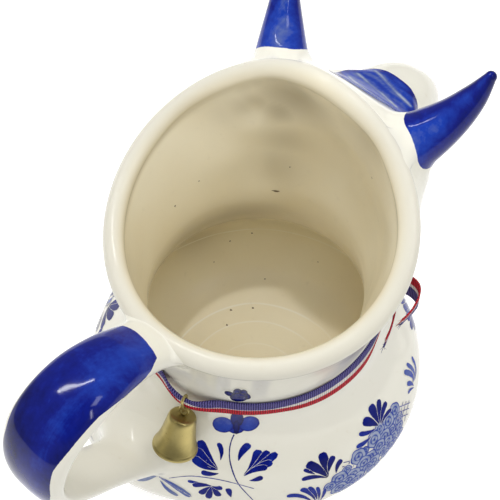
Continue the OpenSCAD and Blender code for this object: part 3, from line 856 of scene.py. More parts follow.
# Where the blue ends: how far it starts from the root, and how far it wraps down each side
ROOT_EDGE_TURNS, ROOT_EDGE_MM = [35, 56, 75, 100, 128, 180], [6.3, 6.0, 6.1, 5.4, 5.2, 5.6]
SIDE_EDGE_MM = [0, 6, 8.4, 11, 14.5, 19, 23, 25.5, 29, 34, 39, 46, 51, 55, 66, 76, 84, 200]
SIDE_EDGE_TURNS = [44, 41, 30, 15, 4, -4, -2, 11, 22, 26, 30, 41, 38, 34, 46, 66, 92, 92]
wrap = (handle_turns + 90) % 360 - 90
near_wrap = np.where(wrap > 90, 180 - wrap, wrap)
root_edge = np.interp(wrap, ROOT_EDGE_TURNS, ROOT_EDGE_MM)
side_edge = np.interp(handle_run, SIDE_EDGE_MM, SIDE_EDGE_TURNS)
handle_paint = np.minimum(handle_run - root_edge, (near_wrap - side_edge) * 0.13)
# Painted highlight: the blue is paler along a strip of the handle's outer face; painted shade darkens it
# toward the foot
handle_highlight = 0.16 * lobe(turned(handle_turns - 72), 24, 2)
shape = Shape()
shape.add(
    handle_all,
    tube_faces(len(handle_all), HANDLE_AROUND),
    handle_normals,
    paint=handle_paint,
    tone=mix(0.64, 0.92, smooth(handle_run, 12, 50)) - handle_highlight,
    inside=0.0,
)
shape.build("glazed_handle", GLAZE, "jug", "blue_glaze", ["handle"])


# The horns


HORN_LINE = [[0, 0, 0], [0.34, 0.32, 0.17], [0.64, 0.62, 0.41], [0.86, 0.85, 0.7], [1, 1, 1]]
HORN_THICKS = [1.16, 0.92, 0.68, 0.45, 0.2]
HORN_AROUND, HORN_CLEAR, HORN_WIDEN = 64, 2.8, 3.0
horn_turns = np.arange(HORN_AROUND) * 360 / HORN_AROUND


def horn_points(ts, side):
    """The horn's line of each turn, at that turn's own share in ts."""
    ts = np.broadcast_to(ts, (HORN_AROUND,)).astype(float)

    def middle(t):
        return HORN_ROOT + HORN_REACH * curve(HORN_LINE, t)

    at = middle(ts)
    along = unit(middle(np.minimum(ts + 0.01, 1)) - middle(np.maximum(ts - 0.01, 0)))
    u = unit(np.cross([0, 1, 0], along))
    v = np.cross(along, u)
    r = HORN_R * curve(HORN_THICKS, ts)[:, None]
    spots = at + (u * cos_d(horn_turns)[:, None] + v * sin_d(horn_turns)[:, None]) * r
    return spots * [side, 1, 1]


def horn_grid(side):
    """A horn's rows from its root on the body to its tip."""

    def points(t):
        return horn_points(t, side)

    start = last_clear(points, np.linspace(0, 0.55, 45), np.full(HORN_AROUND, HORN_CLEAR))
    rows = np.array([points(mix(start, 1, share)) for share in np.linspace(0, 1, 60)])
    ahead = unit(points(start - 0.01) - points(start + 0.01))
    root, flat = root_rows(rows[0], ahead, np.full(HORN_AROUND, HORN_WIDEN))
    centre = rows[-1].mean(axis=0)
    axis = unit(centre - rows[-3].mean(axis=0))
    tip = [
        centre + (rows[-1] - centre) * math.cos(w) + axis * HORN_TIP_R * math.sin(w)
        for w in np.radians(np.linspace(10, 89, 9))
    ]
    grid = np.concatenate([root[::-1], rows, tip])
    normals = facing_out(grid, grid_normals(grid))
    normals[0], normals[-1] = flat, axis
    return grid, normals


HORN_EDGES = {
    "left_horn": ([0, 80, 118, 140, 157, 174, 197, 360], [5, 6.0, 5.2, 5.1, 5.4, 4.2, 4.2, 5]),
    "right_horn": ([0, 56, 79, 101, 124, 135, 169, 360], [3, 2.3, 3.5, 4.2, 4.4, 4.7, 4.6, 3]),
}
# Painted highlights along each horn: at which turn the blue is painted paler, how much paler, and the tone
# elsewhere
HORN_HIGHLIGHTS = {"left_horn": (140, 0.26, 0.56), "right_horn": (112, 0.3, 0.7)}
for name, side in (("left_horn", 1), ("right_horn", -1)):
    grid, normals = horn_grid(side)
    run = lengths_down(grid)
    root = run[ROOT_ROWS]
    level_run = run - root + evened(root, 12)
    horn_paint = level_run - 0.9 - evened(np.interp(horn_turns, *HORN_EDGES[name]))
    horn_highlight = lobe(turned(horn_turns - HORN_HIGHLIGHTS[name][0]), 34, 2) * HORN_HIGHLIGHTS[name][1]
    tone = HORN_HIGHLIGHTS[name][2] + 0.16 * smooth(run / run[-1], 0.1, 0.9) - horn_highlight
    faces = tube_faces(len(grid), HORN_AROUND, caps=("last",))
    if side < 0:
        faces = [f[::-1] for f in faces]
    shape = Shape()
    shape.add(grid, faces, normals, paint=horn_paint, tone=tone, inside=0.0)
    shape.build("glazed_" + name, GLAZE, "jug", "blue_glaze", [name])


# Brush marks, laid on the body


# How far marks and fields stand off the body, what each next mark adds, the marks of a layer,
# how far a field runs past its edge, and the step at which a mark has jumped across a gap
LIFT, LIFT_STEP, LAYER_MARKS, FIELD_LIFT = 0.03, 0.0015, 60, 0.08
FIELD_EDGE, JUMP_MM = 0.36, 3.0
# The half widths along a petal, as shares, and along a stem in mm
PETAL = (0.1, 0.3, 0.52, 0.72, 0.9, 1.04, 1.14, 1.2, 1.2, 1.1, 0.62)
STEM = [0.2, 0.17, 0.19, 0.15]


def inside_by(outline, x, y):
    """How far inside a closed outline places lie; below zero outside it."""
    a, b = outline, np.roll(outline, -1, axis=0)
    spots = np.stack([x, y], axis=-1)[..., None, :]
    line = b - a
    share = np.clip(np.sum((spots - a) * line, axis=-1) / np.sum(line * line, axis=-1), 0, 1)
    off = np.linalg.norm(spots - a - line * share[..., None], axis=-1).min(axis=-1)
    level = spots[..., 1]
    crosses = (a[:, 1] > level) != (b[:, 1] > level)
    rise = np.where(b[:, 1] == a[:, 1], 1e-9, b[:, 1] - a[:, 1])
    at = a[:, 0] + (level - a[:, 1]) / rise * line[:, 0]
    odd = np.sum(crosses & (spots[..., 0] < at), axis=-1) % 2
    return np.where(odd == 1, off, -off)


def line_off(path, x, y):
    """How far places lie from a smooth path."""
    track = curve(path, np.linspace(0, 1, 40))
    return np.linalg.norm(np.stack([x, y], axis=-1)[..., None, :] - track, axis=-1).min(axis=-1)


class Brush:
    """Marks on one piece. A mapping turns flat places into points and normals of the body."""

    def __init__(self, mapping):
        self.mapping = mapping
        self.shape = Shape()
        self.layer, self.count = 0, 0

    def stroke(self, path, widths, tone=0.75, tone_end=None, steps=None):
        """A mark along a smooth path; widths are its half widths in mm, spread along it."""
        path = np.asarray(path, float)
        spots = [self.mapping(*p) for p in curve(path, np.linspace(0, 1, 9))]
        if any(s is None for s in spots):
            return
        length = np.sum(np.linalg.norm(np.diff([s[0] for s in spots], axis=0), axis=1))
        steps = steps or int(np.clip(length / 0.36, 7, 70))
        ts = np.linspace(0, 1, steps)
        spots = [self.mapping(*p) for p in curve(path, ts)]
        if any(s is None for s in spots):
            return
        at = np.array([s[0] for s in spots])
        if np.max(np.linalg.norm(np.diff(at, axis=0), axis=1)) > JUMP_MM:
            return
        flat = np.array([s[1] for s in spots])
        along = unit(np.gradient(at, axis=0))
        half = np.maximum(curve(widths, ts), 0.02)
        # Rows run past both ends, so that the mark's own edge closes it
        at = np.concatenate([[at[0] - along[0] * MARGIN], at, [at[-1] + along[-1] * MARGIN]])
        flat = np.concatenate([flat[:1], flat, flat[-1:]])
        along = np.concatenate([along[:1], along, along[-1:]])
        beyond = np.concatenate([[-MARGIN], np.zeros(steps), [-MARGIN]])
        half = np.concatenate([half[:1], half, half[-1:]])
        side = unit(np.cross(along, flat))
        tones = mix(tone, tone if tone_end is None else tone_end, np.concatenate([[0], ts, [1]]))
        points, normals, paints = [], [], []
        self.count += 1
        lift = LIFT + LIFT_STEP * (self.count + LAYER_MARKS * self.layer)
        offsets = np.linspace(-1, 1, 7 if np.max(half) < 1.6 else 17)
        for p, n, s, h, cut in zip(at, flat, side, half, beyond):
            for o in offsets * (h + MARGIN):
                hit = skin.land(p + s * o + n * 2.5, -n, 6)
                if hit is None:
                    hit = skin.nearest(p + s * o)
                points.append(hit[0] + hit[1] * lift)
                normals.append(hit[1])
                paints.append(min(h - abs(o), h) + cut)
        count = len(offsets)
        faces = tube_faces(len(at), count, close=False)
        self.shape.add(
            points, faces, normals, paint=np.array(paints), tone=np.repeat(tones, count), inside=0.0
        )

    def petal(self, base, tip, half, tone=0.8, bend=0.0):
        """A pointed mark that swells to a round end; half in mm, bend a share of its length."""
        base, tip = np.asarray(base, float), np.asarray(tip, float)
        line = tip - base
        off = np.array([-line[1], line[0]]) * bend
        path = [base, base + line * 0.33 + off, base + line * 0.67 + off, tip]
        self.stroke(path, [half * w for w in PETAL], tone + 0.08, tone - 0.06)

    def fan(self, base, *petals, tone=0.8, root=0.12):
        """Petals from one place; each is its tip's two places, its half width and its bend."""
        base = np.asarray(base, float)
        for x, y, half, bend in petals:
            tip = np.array([x, y], float)
            self.petal(mix(base, tip, root), tip, half, tone, bend)

    def hatch(self, corner, across, up, tone, lines=3, half=0.14):
        """Two crossing sets of short lines over a patch with a corner and two sides."""
        corner, across, up = (np.asarray(v, float) for v in (corner, across, up))
        for s in (np.arange(lines) + 0.5) / lines:
            for side, way in ((across, up), (up, across)):
                path = [corner + side * s - way * 0.1, corner + side * (s + 0.12) + way * 1.1]
                self.stroke(path, [half, half], tone)

    def curl(self, centre, radius, start, sweep, half, tone, shrink=0.0):
        """An arc, or a spiral where it shrinks; radius in flat units, angles in degrees."""
        ts = np.linspace(0, 1, 9)
        w = np.radians(start + sweep * ts)
        r = radius * (1 - shrink * ts)
        path = np.stack([centre[0] + r * np.cos(w), centre[1] + r * np.sin(w)], axis=1)
        self.stroke(path, [half * 0.6, half, half * 0.6], tone)

    def dot(self, at, half, tone):
        at = np.asarray(at, float)
        reach = self.size_of(at) * half * 0.45
        path = [at - [reach, 0], at + [reach, 0]]
        self.stroke(path, [half * 0.8, half, half * 0.8], tone, steps=5)

    def area(self, corner, size, look, step=0.4):
        """A painted field over a flat rectangle; look gives the paint and the tone at places."""
        xs = np.arange(corner[0], corner[0] + size[0], step)
        ys = np.arange(corner[1], corner[1] + size[1], step)
        across, up = np.meshgrid(xs, ys)
        paint, tone = look(across, up)
        ids = np.full(across.shape, -1)
        points, normals, kept = [], [], []
        for k in np.argwhere(paint > -FIELD_EDGE):
            hit = self.mapping(across[tuple(k)], up[tuple(k)])
            if hit is not None:
                ids[tuple(k)] = len(points)
                points.append(hit[0] + hit[1] * FIELD_LIFT)
                normals.append(hit[1])
                kept.append(tuple(k))
        faces = []
        for i in range(len(ys) - 1):
            for j in range(len(xs) - 1):
                f = (ids[i, j], ids[i, j + 1], ids[i + 1, j + 1], ids[i + 1, j])
                if min(f) < 0:
                    continue
                a, b, c, d = (points[v] for v in f)
                if max(np.linalg.norm(a - c), np.linalg.norm(b - d)) > JUMP_MM:
                    continue
                faces.append(f if np.dot(np.cross(c - a, d - b), normals[f[0]]) > 0 else f[::-1])
        used = sorted({v for f in faces for v in f})
        place_of = {v: k for k, v in enumerate(used)}
        self.shape.add(
            [points[v] for v in used],
            [tuple(place_of[v] for v in f) for f in faces],
            [normals[v] for v in used],
            paint=np.array([paint[kept[v]] for v in used]),
            tone=np.array([tone[kept[v]] for v in used]),
        )

    def size_of(self, at):
        """How many flat units a millimetre is, near a place."""
        a, b = self.mapping(*at), self.mapping(at[0] + 1, at[1])
        if a is None or b is None:
            return 1.0
        return 1 / max(np.linalg.norm(a[0] - b[0]), 1e-3)

    def build(self, name):
        return self.shape.build(name, PAINTED, "jug", "blue_glaze")


def seen(x, y):
    """The body's point behind a pixel of the photograph's frame."""
    return skin.land(EYE, pixel_ray(x, y))


def bent(length, r):
    """The angle that a length takes up round a radius."""
    return length / r * 180 / math.pi


def around(middle, height):
    """A flat mapping, in mm, of the body's side round an angle and a height."""

    def spot(x, y):
        angle = middle + bent(x, BELLY_R * 0.9)
        return skin.land(place(FAR, angle, height + y), place(-1, angle, 0))

    return spot


def front(x, z):
    """The face's point behind a place seen from straight ahead."""
    return skin.land((x, -FAR, z), (0, 1, 0))


def flipped(side, *path):
    """A path's places, on the other side of the middle where side is -1."""
    return [(side * x, y) for x, y in path]


def bloom_look(parts, scale):
    """Overlapping round petals: centre, half widths, turn and tone of each; scale is mm a unit."""

    def look(x, y):
        paint, tone = np.full(x.shape, UNPAINTED), np.full(x.shape, parts[0][5] + 0.2)
        for cx, cy, wide, tall, tilt, shade in parts:
            u = (x - cx) * cos_d(tilt) + (y - cy) * sin_d(tilt)
            v = (y - cy) * cos_d(tilt) - (x - cx) * sin_d(tilt)
            inside = (1 - np.hypot(u / wide, v / tall)) * min(wide, tall) * scale
            tone = np.where(inside > 0, shade + 0.25 * lobe(inside, 0.28, 2), tone)
            paint = np.maximum(paint, inside)
        return paint, tone

    return look


# The length of a pixel at the jug, in mm
PX_MM = 0.3
brush = Brush(seen)

# The spray by the bell: flower, stem, two leaf fans and a crossing stem
CLUSTER = [
    (229.5, 393.5, 5.4, 2.4, 20, 0.85), (237.5, 391.5, 4.4, 3.2, 0, 0.85), (243.5, 392.5, 4.2, 3.2, 0, 0.85),
    (247, 396, 4, 2.8, 25, 0.8), (239, 397, 9, 4.4, 0, 0.88),
]
BLOOM = [
    (236, 427, 9, 6.5, 0, 0.52), (223, 424.5, 10.6, 7.8, 12, 0.46), (249, 423.5, 10.6, 7.4, -12, 0.46),
    (237, 418.5, 6.6, 7.5, 0, 0.85), (236.5, 427, 3, 7, 0, 0.8),
]
brush.area((220, 384), (36, 22), bloom_look(CLUSTER, PX_MM), 0.8)
brush.area((208, 407), (56, 32), bloom_look(BLOOM, PX_MM), 0.8)
brush.stroke(
    [(236.8, 430), (232, 439), (229.6, 449), (230, 461), (234, 475), (240, 486), (253, 500)], STEM, 0.72
)
brush.fan(
    (218.5, 470),
    (200, 440.5, 1.15, -0.05), (196, 449, 1.25, -0.06), (193.5, 457.5, 1.1, -0.08),
    tone=0.7, root=0.04,
)
brush.petal((220.5, 460), (218.5, 443), 0.62, 0.7, 0.1)
brush.petal((218.5, 473.5), (201.5, 472), 0.72, 0.74, -0.06)
brush.petal((238.5, 460.5), (249.5, 444), 0.92, 0.7, -0.08)
brush.fan(
    (243.5, 476),
    (258.5, 450, 1.15, 0.1), (268, 451, 1.0, 0.06), (276.5, 453, 1.0, 0.03),
    (272, 462, 0.95, -0.03), (267, 467.5, 0.8, -0.08),
    tone=0.72, root=0.03,
)
brush.petal((249.4, 480.5), (262.5, 477), 0.66, 0.74, 0.05)
brush.stroke([(169, 478), (190, 476), (210, 478), (230, 482), (254, 488.5)], [0.09, 0.13, 0.15, 0.1], 0.6)
brush.petal((202, 483.5), (188, 481), 0.5, 0.6, 0.0)
brush.fan(
    (212, 486),
    (193, 485.5, 0.75, 0.05), (200, 493.5, 0.8, 0.0), (208, 498, 0.8, 0.0),
    (219, 496, 0.85, 0.0), (222, 487.5, 0.7, 0.1),
    tone=0.72, root=0.0,
)
brush.petal((231, 497), (228, 488.5), 0.75, 0.72, 0.0)

# Two fans of petals with their trellis
brush.fan((328, 477), (321.5, 453, 1.15, 0.03), (307, 464, 1.2, 0.05), tone=0.86, root=0.02)
brush.petal((315, 474), (304, 469.5), 0.5, 0.86)
brush.petal((328.5, 472), (333.5, 456), 0.85, 0.84, -0.05)
brush.petal((336, 473), (341.5, 459.5), 0.72, 0.8, -0.08)
brush.petal((327, 477.5), (302, 479.5), 0.68, 0.84, 0.06)
brush.hatch((342, 473), (17, -3), (4, -13), tone=0.62)
brush.fan(
    (319, 503),
    (287, 496, 0.7, 0.1), (301, 489, 0.75, 0.12), (309, 487, 0.6, 0.1),
    (317, 487, 0.5, 0.08), (325, 488.5, 0.5, 0.06),
    tone=0.62, root=0.2,
)
brush.fan(
    (380, 426),
    (363, 421, 1.15, 0.05), (370, 405.5, 1.15, 0.02), (378.5, 399.5, 0.8, 0),
    (386, 402, 0.75, -0.04), (391, 409, 0.55, -0.06),
    tone=0.8, root=0.12,
)
brush.petal((376, 428), (359, 434), 0.62, 0.68, -0.08)
brush.petal((371, 436), (356.5, 447), 0.66, 0.62, -0.06)
brush.hatch((397, 421), (9, -2), (3, -17), tone=0.55)
brush.fan(
    (415, 386),
    (411.5, 357, 0.6, 0.1), (406.5, 364, 0.6, 0.18), (404, 372, 0.75, 0.25),
    (407, 384, 0.65, 0.2), (408, 393, 0.5, 0.1),
    tone=0.45, root=0.2,
)

# Leaves by the handle
brush.mapping = around(-170, 30)
brush.petal((-2.0, 3.2), (-9.4, 0.8), 1.5, 0.12)
brush.petal((-2.4, 3.0), (-7.5, -1.4), 1.2, 0.08)
brush.stroke([(-9, 2.1), (-5.3, 3.2), (-2.3, 3.3)], [0.1, 0.14, 0.1], 0.5)
brush.petal((-1.8, 3.0), (6.6, -2.4), 0.95, 0.3, 0.05)
brush.petal((-1.2, 1.6), (3.4, -3.6), 0.7, 0.26, -0.05)
brush.stroke([(-2, 3.4), (2.6, 0.4), (7, -2.2)], [0.1, 0.13, 0.08], 0.6)
brush.build("painted_flowers_rear")


# The garland of roses round the belly's side
GARLAND_ANGLE, GARLAND_Z = -95, 24
garland_line = []
for x, y in ((397, 415), (385, 431), (374, 446), (361, 461), (347, 475), (333, 490)):
    spot, _ = seen(x, y)
    angle = math.degrees(math.atan2(spot[0], -spot[1]))
    along = math.radians(float(turned(angle - GARLAND_ANGLE))) * BELLY_R * 0.9
    garland_line.append([along, spot[2] - GARLAND_Z])
garland_line = curve(garland_line, np.linspace(0, 1, 60))
garland_run = np.concatenate([[0], np.cumsum(np.linalg.norm(np.diff(garland_line, axis=0), axis=1))])
ROSE_R, ROSE_STEP = 2.5, 3.3
roses = []
for k, at in enumerate(np.arange(0.5, garland_run[-1], ROSE_STEP)):
    middle = np.array([np.interp(at, garland_run, garland_line[:, i]) for i in (0, 1)])
    ahead = np.array([np.interp(at + 0.5, garland_run, garland_line[:, i]) for i in (0, 1)]) - middle
    off = unit(np.array([-ahead[1], ahead[0]])) * ROSE_R * 0.8
    down = off if off[1] < 0 else -off
    odd = math.sin(2.7 * k + 0.6)
    middle = middle + 0.5 * np.array([odd, math.sin(4.1 * k)])
    off = off * (-1) ** k
    steps = ((off, 1), (-off, 0.78 + 0.2 * odd), (down * 2.6, 0.85 - 0.16 * odd), (down * 4.2, 0.7))
    for step, share in steps:
        roses.append((*(middle + step), ROSE_R * share))


def garland_look(x, y):
    """Overlapping round petals, each with a dark edge, a ring and a heart."""
    paint = np.full(x.shape, UNPAINTED)
    tone = np.full(x.shape, 0.6)
    for cx, cy, r in roses:
        w = np.arctan2(y - cy, x - cx)
        d = np.hypot(x - cx, y - cy)
        edge = r * (1 + 0.1 * np.abs(np.sin(2.5 * w + cx)))
        inside = edge - d
        here = inside > 0
        rings = lobe(inside - 0.12, 0.2, 2) + 0.85 * lobe(d - r * 0.52, 0.16, 2) + lobe(d, 0.34, 2)
        paint = np.maximum(paint, inside)
        fill = 0.1 * np.sin(3 * w + cy) - 0.02 + 0.12 * lobe(d, r * 0.5, 2)
        tone = np.where(here, fill + 0.62 * np.clip(rings, 0, 1), tone)
    return paint, tone


low, high = np.min(roses, axis=0), np.max(roses, axis=0)
garland = Brush(around(GARLAND_ANGLE, GARLAND_Z))
edge = ROSE_R + 1
garland.area(low[:2] - edge, high[:2] - low[:2] + 2 * edge, garland_look, 0.22)
garland.build("painted_garland")


def spray(brush, mirror):
    """A tulip on a bent stem with leaf fans and small petals, about 26 mm high."""

    def fan(base, *petals, tone, root):
        petals = [(mirror * x, y, half, mirror * bend) for x, y, half, bend in petals]
        brush.fan(*flipped(mirror, base), *petals, tone=tone, root=root)

    bloom = [
        (0, 11.6, 2.9, 2.2, 0, 0.52), (-4.2, 12.9, 3.5, 2.6, -12, 0.46), (4.2, 13, 3.5, 2.5, 12, 0.46),
        (0.2, 14.6, 2.2, 2.6, 0, 0.85), (0, 11.8, 1, 2.3, 0, 0.8),
    ]
    brush.area((-8.4, 8.4), (16.8, 9.8), bloom_look(bloom, 1.0), 0.24)
    brush.stroke(flipped(mirror, (0, 10), (-1.9, 6), (-1.9, 0), (0.6, -6), (5, -11)), STEM, 0.72)
    fan((-4, -4), (-9.5, 5, 1.2, -0.05), (-11.4, 2, 1.3, -0.06), (-12.4, -1, 1.1, -0.08), tone=0.7, root=0.04)
    fan(
        (3.4, -5),
        (7.6, 3.6, 1.2, 0.1), (10.6, 3, 1.1, 0.06), (13, 1.6, 1.0, 0.03), (11.6, -1.6, 0.9, -0.03),
        tone=0.72, root=0.03,
    )
    brush.petal(*flipped(mirror, (-3.2, -1), (-3.8, 4.4)), 0.6, 0.7)
    brush.petal(*flipped(mirror, (2, -0.4), (5.2, 5)), 0.9, 0.7)
    brush.petal(*flipped(mirror, (-4, -5.4), (-9, -5)), 0.7, 0.74)
    brush.petal(*flipped(mirror, (5, -6.4), (9, -5.4)), 0.65, 0.74)
    path = flipped(mirror, (-14, -9), (-6, -7), (2, -7.6), (9, -9.6))
    brush.stroke(path, [0.09, 0.14, 0.14, 0.1], 0.62)


def rose_bed(brush, mirror):
    """A rose with leaf fans on each side and a trellis, about 30 mm wide."""
    petals = [(4.1 * cos_d(w), 4.1 * sin_d(w), w) for w in np.arange(7) * 360 / 7 + 10]
    brush.dot((0, 0), 4.2, 0.14)
    for x, y, _ in petals:
        brush.dot((x, y), 1.7, 0.2)
    brush.layer += 1
    for x, y, w in petals:
        brush.curl((x, y), 1.75, w - 110, 220, 0.2, 0.6)
    brush.curl((0, 0), 2.6, 20, 300, 0.24, 0.6)
    brush.curl((0, 0), 1.6, 200, 280, 0.22, 0.7, 0.4)
    brush.dot((0, 0), 0.6, 0.8)
    brush.layer -= 1
    for side in (-1, 1):
        leaves = (
            (9.6, 8.4, 1.2, -0.04), (12.8, 6.4, 1.25, -0.05), (14.4, 2.8, 1.1, -0.05), (6.6, 8.8, 0.9, 0)
        )
        leaves = [(side * x, y, half, side * bend) for x, y, half, bend in leaves]
        brush.fan((side * 6.2, 1.5), *leaves, tone=0.84, root=0.1)
        brush.petal((side * 7, -1), (side * 13.4, -1.8), 0.75, 0.8)
        brush.petal((side * 6, -3.6), (side * 11, -6.6), 0.8, 0.72)
    brush.hatch((mirror * 8.2 - 2, -9.6), (5.4, 0.6), (-0.6, 4.6), tone=0.62)
    brush.petal(*flipped(mirror, (-3, -5.4), (-6.4, -9.4)), 0.8, 0.7)
    brush.petal(*flipped(mirror, (-1, -6), (-1.6, -10.2)), 0.7, 0.7)


for name, angle, height, draw, mirror in (
    ("painted_flowers_far", 146, 38, spray, -1),
    ("painted_rose_left", 112, 37, rose_bed, 1),
    ("painted_flowers_left", 66, 36, spray, 1),
    ("painted_rose_breast", 14, 34, rose_bed, -1),
    ("painted_flowers_right", -32, 36, spray, -1),
):
    brush = Brush(around(angle, height))
    draw(brush, mirror)
    brush.build(name)


# The face: hair, nostrils and mouth, then the eyes
brush = Brush(front)
for side in (-1, 1):
    for k in range(5):
        x = side * (1.5 + 2.4 * k)
        brush.petal((x * 0.55, 112.5 - 0.6 * k), (x, 102.5 + 0.9 * k), 1.25, 0.45, side * 0.08)
    path = flipped(side, (2.6, 89.5), (5.2, 91.2), (7.6, 88.8), (6.6, 86.9))
    brush.stroke(path, [0.2, 0.3, 0.26, 0.14], 0.8)
    brush.dot((side * NOSTRIL_X, NOSTRIL_Z), 1.1, 0.85)
    for spot in flipped(side, (3.2, 82.6), (5.6, 83.4), (7.6, 84.6), (4.4, 81.2)):
        brush.dot(spot, 0.22, 0.6)
path = [(-9.6, 82.2), (-5, 79.2), (0, 78.2), (5, 79.2), (9.6, 82.2)]
brush.stroke(path, [0.12, 0.3, 0.34, 0.3, 0.12], 0.8)
brush.stroke([(0, 85.6), (0, 82), (0, 78.6)], [0.1, 0.16, 0.18], 0.7)
brush.build("painted_face_front")

for name, side in (("painted_eye_left", 1), ("painted_eye_right", -1)):
    brush = Brush(around(side * EYE_ANGLE, EYE_Z))
    path = flipped(side, (4.6, -0.6), (1.6, 2.2), (-2.2, 2.1), (-4.6, -0.4))
    brush.stroke(path, [0.16, 0.42, 0.44, 0.16], 0.95)
    path = flipped(side, (4.4, -0.8), (1.2, -2.4), (-2, -2.2), (-4.4, -0.6))
    brush.stroke(path, [0.12, 0.22, 0.22, 0.12], 0.85)
    brush.dot((0, 0), 1.75, 0.5)
    brush.layer = 1
    brush.dot((0, 0.1), 0.95, 1.0)
    brush.layer = 0
    for x in -3.4 + 1.7 * np.arange(5):
        lash = flipped(side, (x, 2.3 - 0.048 * x * x), (x * 1.25, 4.3 - 0.04 * x * x))
        brush.stroke(lash, [0.16, 0.05], 0.9)
    brush.stroke(flipped(side, (4.8, 4.6), (0.6, 6.4), (-4.6, 5)), [0.14, 0.42, 0.14], 0.6)
    brush.build(name)


# The blue tuft on the poll, between the horns: its outline and the paler lines in it, painted highlights
# along its ridges


def over_poll(x, y):
    """The poll's point straight below a place."""
    return skin.land((x, y, 200), (0, 0, -1))


TUFT = [
    [-7.6, -36.6], [0, -35.4], [7.4, -37], [10.6, -42], [11.4, -49], [9.4, -55.6], [4.4, -59], [-1.6, -58.7],
    [-6.2, -57.4], [-10.6, -53.4], [-11.2, -46.4], [-10.4, -40.4], [-7.6, -36.6],
]
TUFT_HIGHLIGHTS = (
    [(-9.6, -51), (-2, -53), (5.8, -56.6)],
    [(-9, -41.4), (0, -43), (7.6, -46.4)],
    [(-8, -46), (2, -48.6), (8, -51)],
)
tuft_outline = curve(TUFT, np.linspace(0, 1, 90))[:-1]


def tuft_look(x, y):
    paint = inside_by(tuft_outline, x, y)
    hair = 0.07 * np.sin(y * 2.2 + 0.35 * x + np.sin(x * 0.6))
    tone = 0.42 + hair + 0.26 * lobe(paint, 1.7, 2)
    # Painted highlights: paler lines along the tuft's ridges
    for path in TUFT_HIGHLIGHTS:
        tone = tone - 0.36 * lobe(line_off(path, x, y), 0.6, 2)
    return paint, tone


tuft = Brush(over_poll)
tuft.area((-13, -61), (26, 27), tuft_look, 0.25)
tuft.build("painted_poll_tuft")


# Pinholes and specks in the glaze inside: where they are seen, half width and half height in mm
PINHOLES = (
    (276, 191, 1.1, 0.4), (230, 241, 0.35, 0.3), (252, 233, 0.35, 0.3), (372, 178, 0.3, 0.3),
    (175, 206, 0.3, 0.3), (231, 310, 0.45, 0.3), (253, 308, 0.4, 0.3), (227, 325, 0.35, 0.35),
    (265, 279, 0.25, 0.25), (290, 167, 0.22, 0.22), (214, 262, 0.2, 0.2), (318, 262, 0.2, 0.2),
    (199, 181, 0.22, 0.2),
)
HOLE_SIDES, HOLE_LIFT, HOLE_UNEVEN = 14, 0.03, 0.22
pinholes = Shape()
hole_turns = np.arange(HOLE_SIDES)[:, None] * 360 / HOLE_SIDES
for x, y, wide, tall in PINHOLES:
    centre, n = seen(x, y)
    u = unit(RIGHT - n * np.dot(RIGHT, n))
    v = np.cross(n, u)
    uneven = 1 + HOLE_UNEVEN * rng.standard_normal(HOLE_SIDES)[:, None]
    edge = (u * cos_d(hole_turns) * wide + v * sin_d(hole_turns) * tall) * uneven
    pinholes.add(centre + n * HOLE_LIFT + edge, [tuple(range(HOLE_SIDES))], np.tile(n, (HOLE_SIDES, 1)))
pinholes.build("glaze_pinholes", speck_material(), "jug", "glaze")


# The ribbon


def ribbon_radius(a):
    room = 2.15 * lobe(turned(a - BELL_ANGLE), 10, 3)
    return waist_radius(a) + RIBBON_GAP + room + 1.9 * lobe(turned(a), 48, 3)


def ribbon_half(a):
    return RIBBON_W / 2 * (1 - 0.42 * lobe(turned(a - BELL_ANGLE), 7.5, 2))


def ribbon_z(a):
    return WAIST_Z + 2 * lobe(turned(a + 183), 9)


def strip(name, outer, inner, across, along, node, close):
    """A ribbon of some thickness from rows of points along it, outer and inner."""
    ring = np.concatenate([outer, inner[:, ::-1]], axis=1)
    count = ring.shape[1]
    faces = tube_faces(len(ring), count, caps=() if close else ("first", "last"), loop=close)
    shape = Shape()
    values = np.concatenate([across, across[:, ::-1]], axis=1)
    shape.add(ring, faces, across=values, along=np.repeat(along, count))
    return shape.build(name, RIBBON, "jug", "ribbon", [node])


BAND_AROUND = 900
ROWS = np.linspace(-1, 1, 25)
band_a = -np.arange(BAND_AROUND) * 360 / BAND_AROUND
band_mm = np.radians(np.arange(BAND_AROUND) * 360 / BAND_AROUND) * 38
gather = lobe(turned(band_a - BELL_ANGLE), 13, 2)[:, None]
pleat = gather * 0.16 * np.sin(ROWS[None] * 9 + band_a[:, None] * 0.5)
ribs = 0.045 * np.sin(band_mm * 2 * math.pi / RIB_MM)[:, None]
curl = 0.1 * np.sin(np.radians(band_a * 5))[:, None] * ROWS[None]
band_r = ribbon_radius(band_a)[:, None] + pleat + curl
band_z = ribbon_z(band_a)[:, None] + ribbon_half(band_a)[:, None] * ROWS[None]
angles = np.broadcast_to(band_a[:, None], band_r.shape)
# The white stripe hides in a fold beside the bell, and opens where the lower edge leans out
fold = lobe(turned(band_a + 147), 17, 6)
spread = lobe(turned(band_a + 103), 23, 4)
band_r = band_r + (0.9 * spread)[:, None] * (1 - ROWS[None]) / 2
white = 0.13 - 0.115 * fold + 0.13 * spread
middle = 0.43 + 0.05 * spread
white_edges = zip(middle - white / 2, middle + white / 2)
band_across = np.array(
    [np.interp((ROWS + 1) / 2, [0, lo, hi, 1], [0, 0.3625, 0.5125, 1]) for lo, hi in white_edges]
)
strip(
    "striped_band",
    place(band_r + RIBBON_T + ribs, angles, band_z),
    place(band_r, angles, band_z),
    band_across,
    band_mm,
    "ribbon_band",
    True,
)

KNOT_L, KNOT_H, KNOT_T = RIBBON_W * 0.85, RIBBON_W * 0.95, RIBBON_W * 0.5
KNOT_R = float(ribbon_radius(KNOT_ANGLE)) + RIBBON_T + 0.2


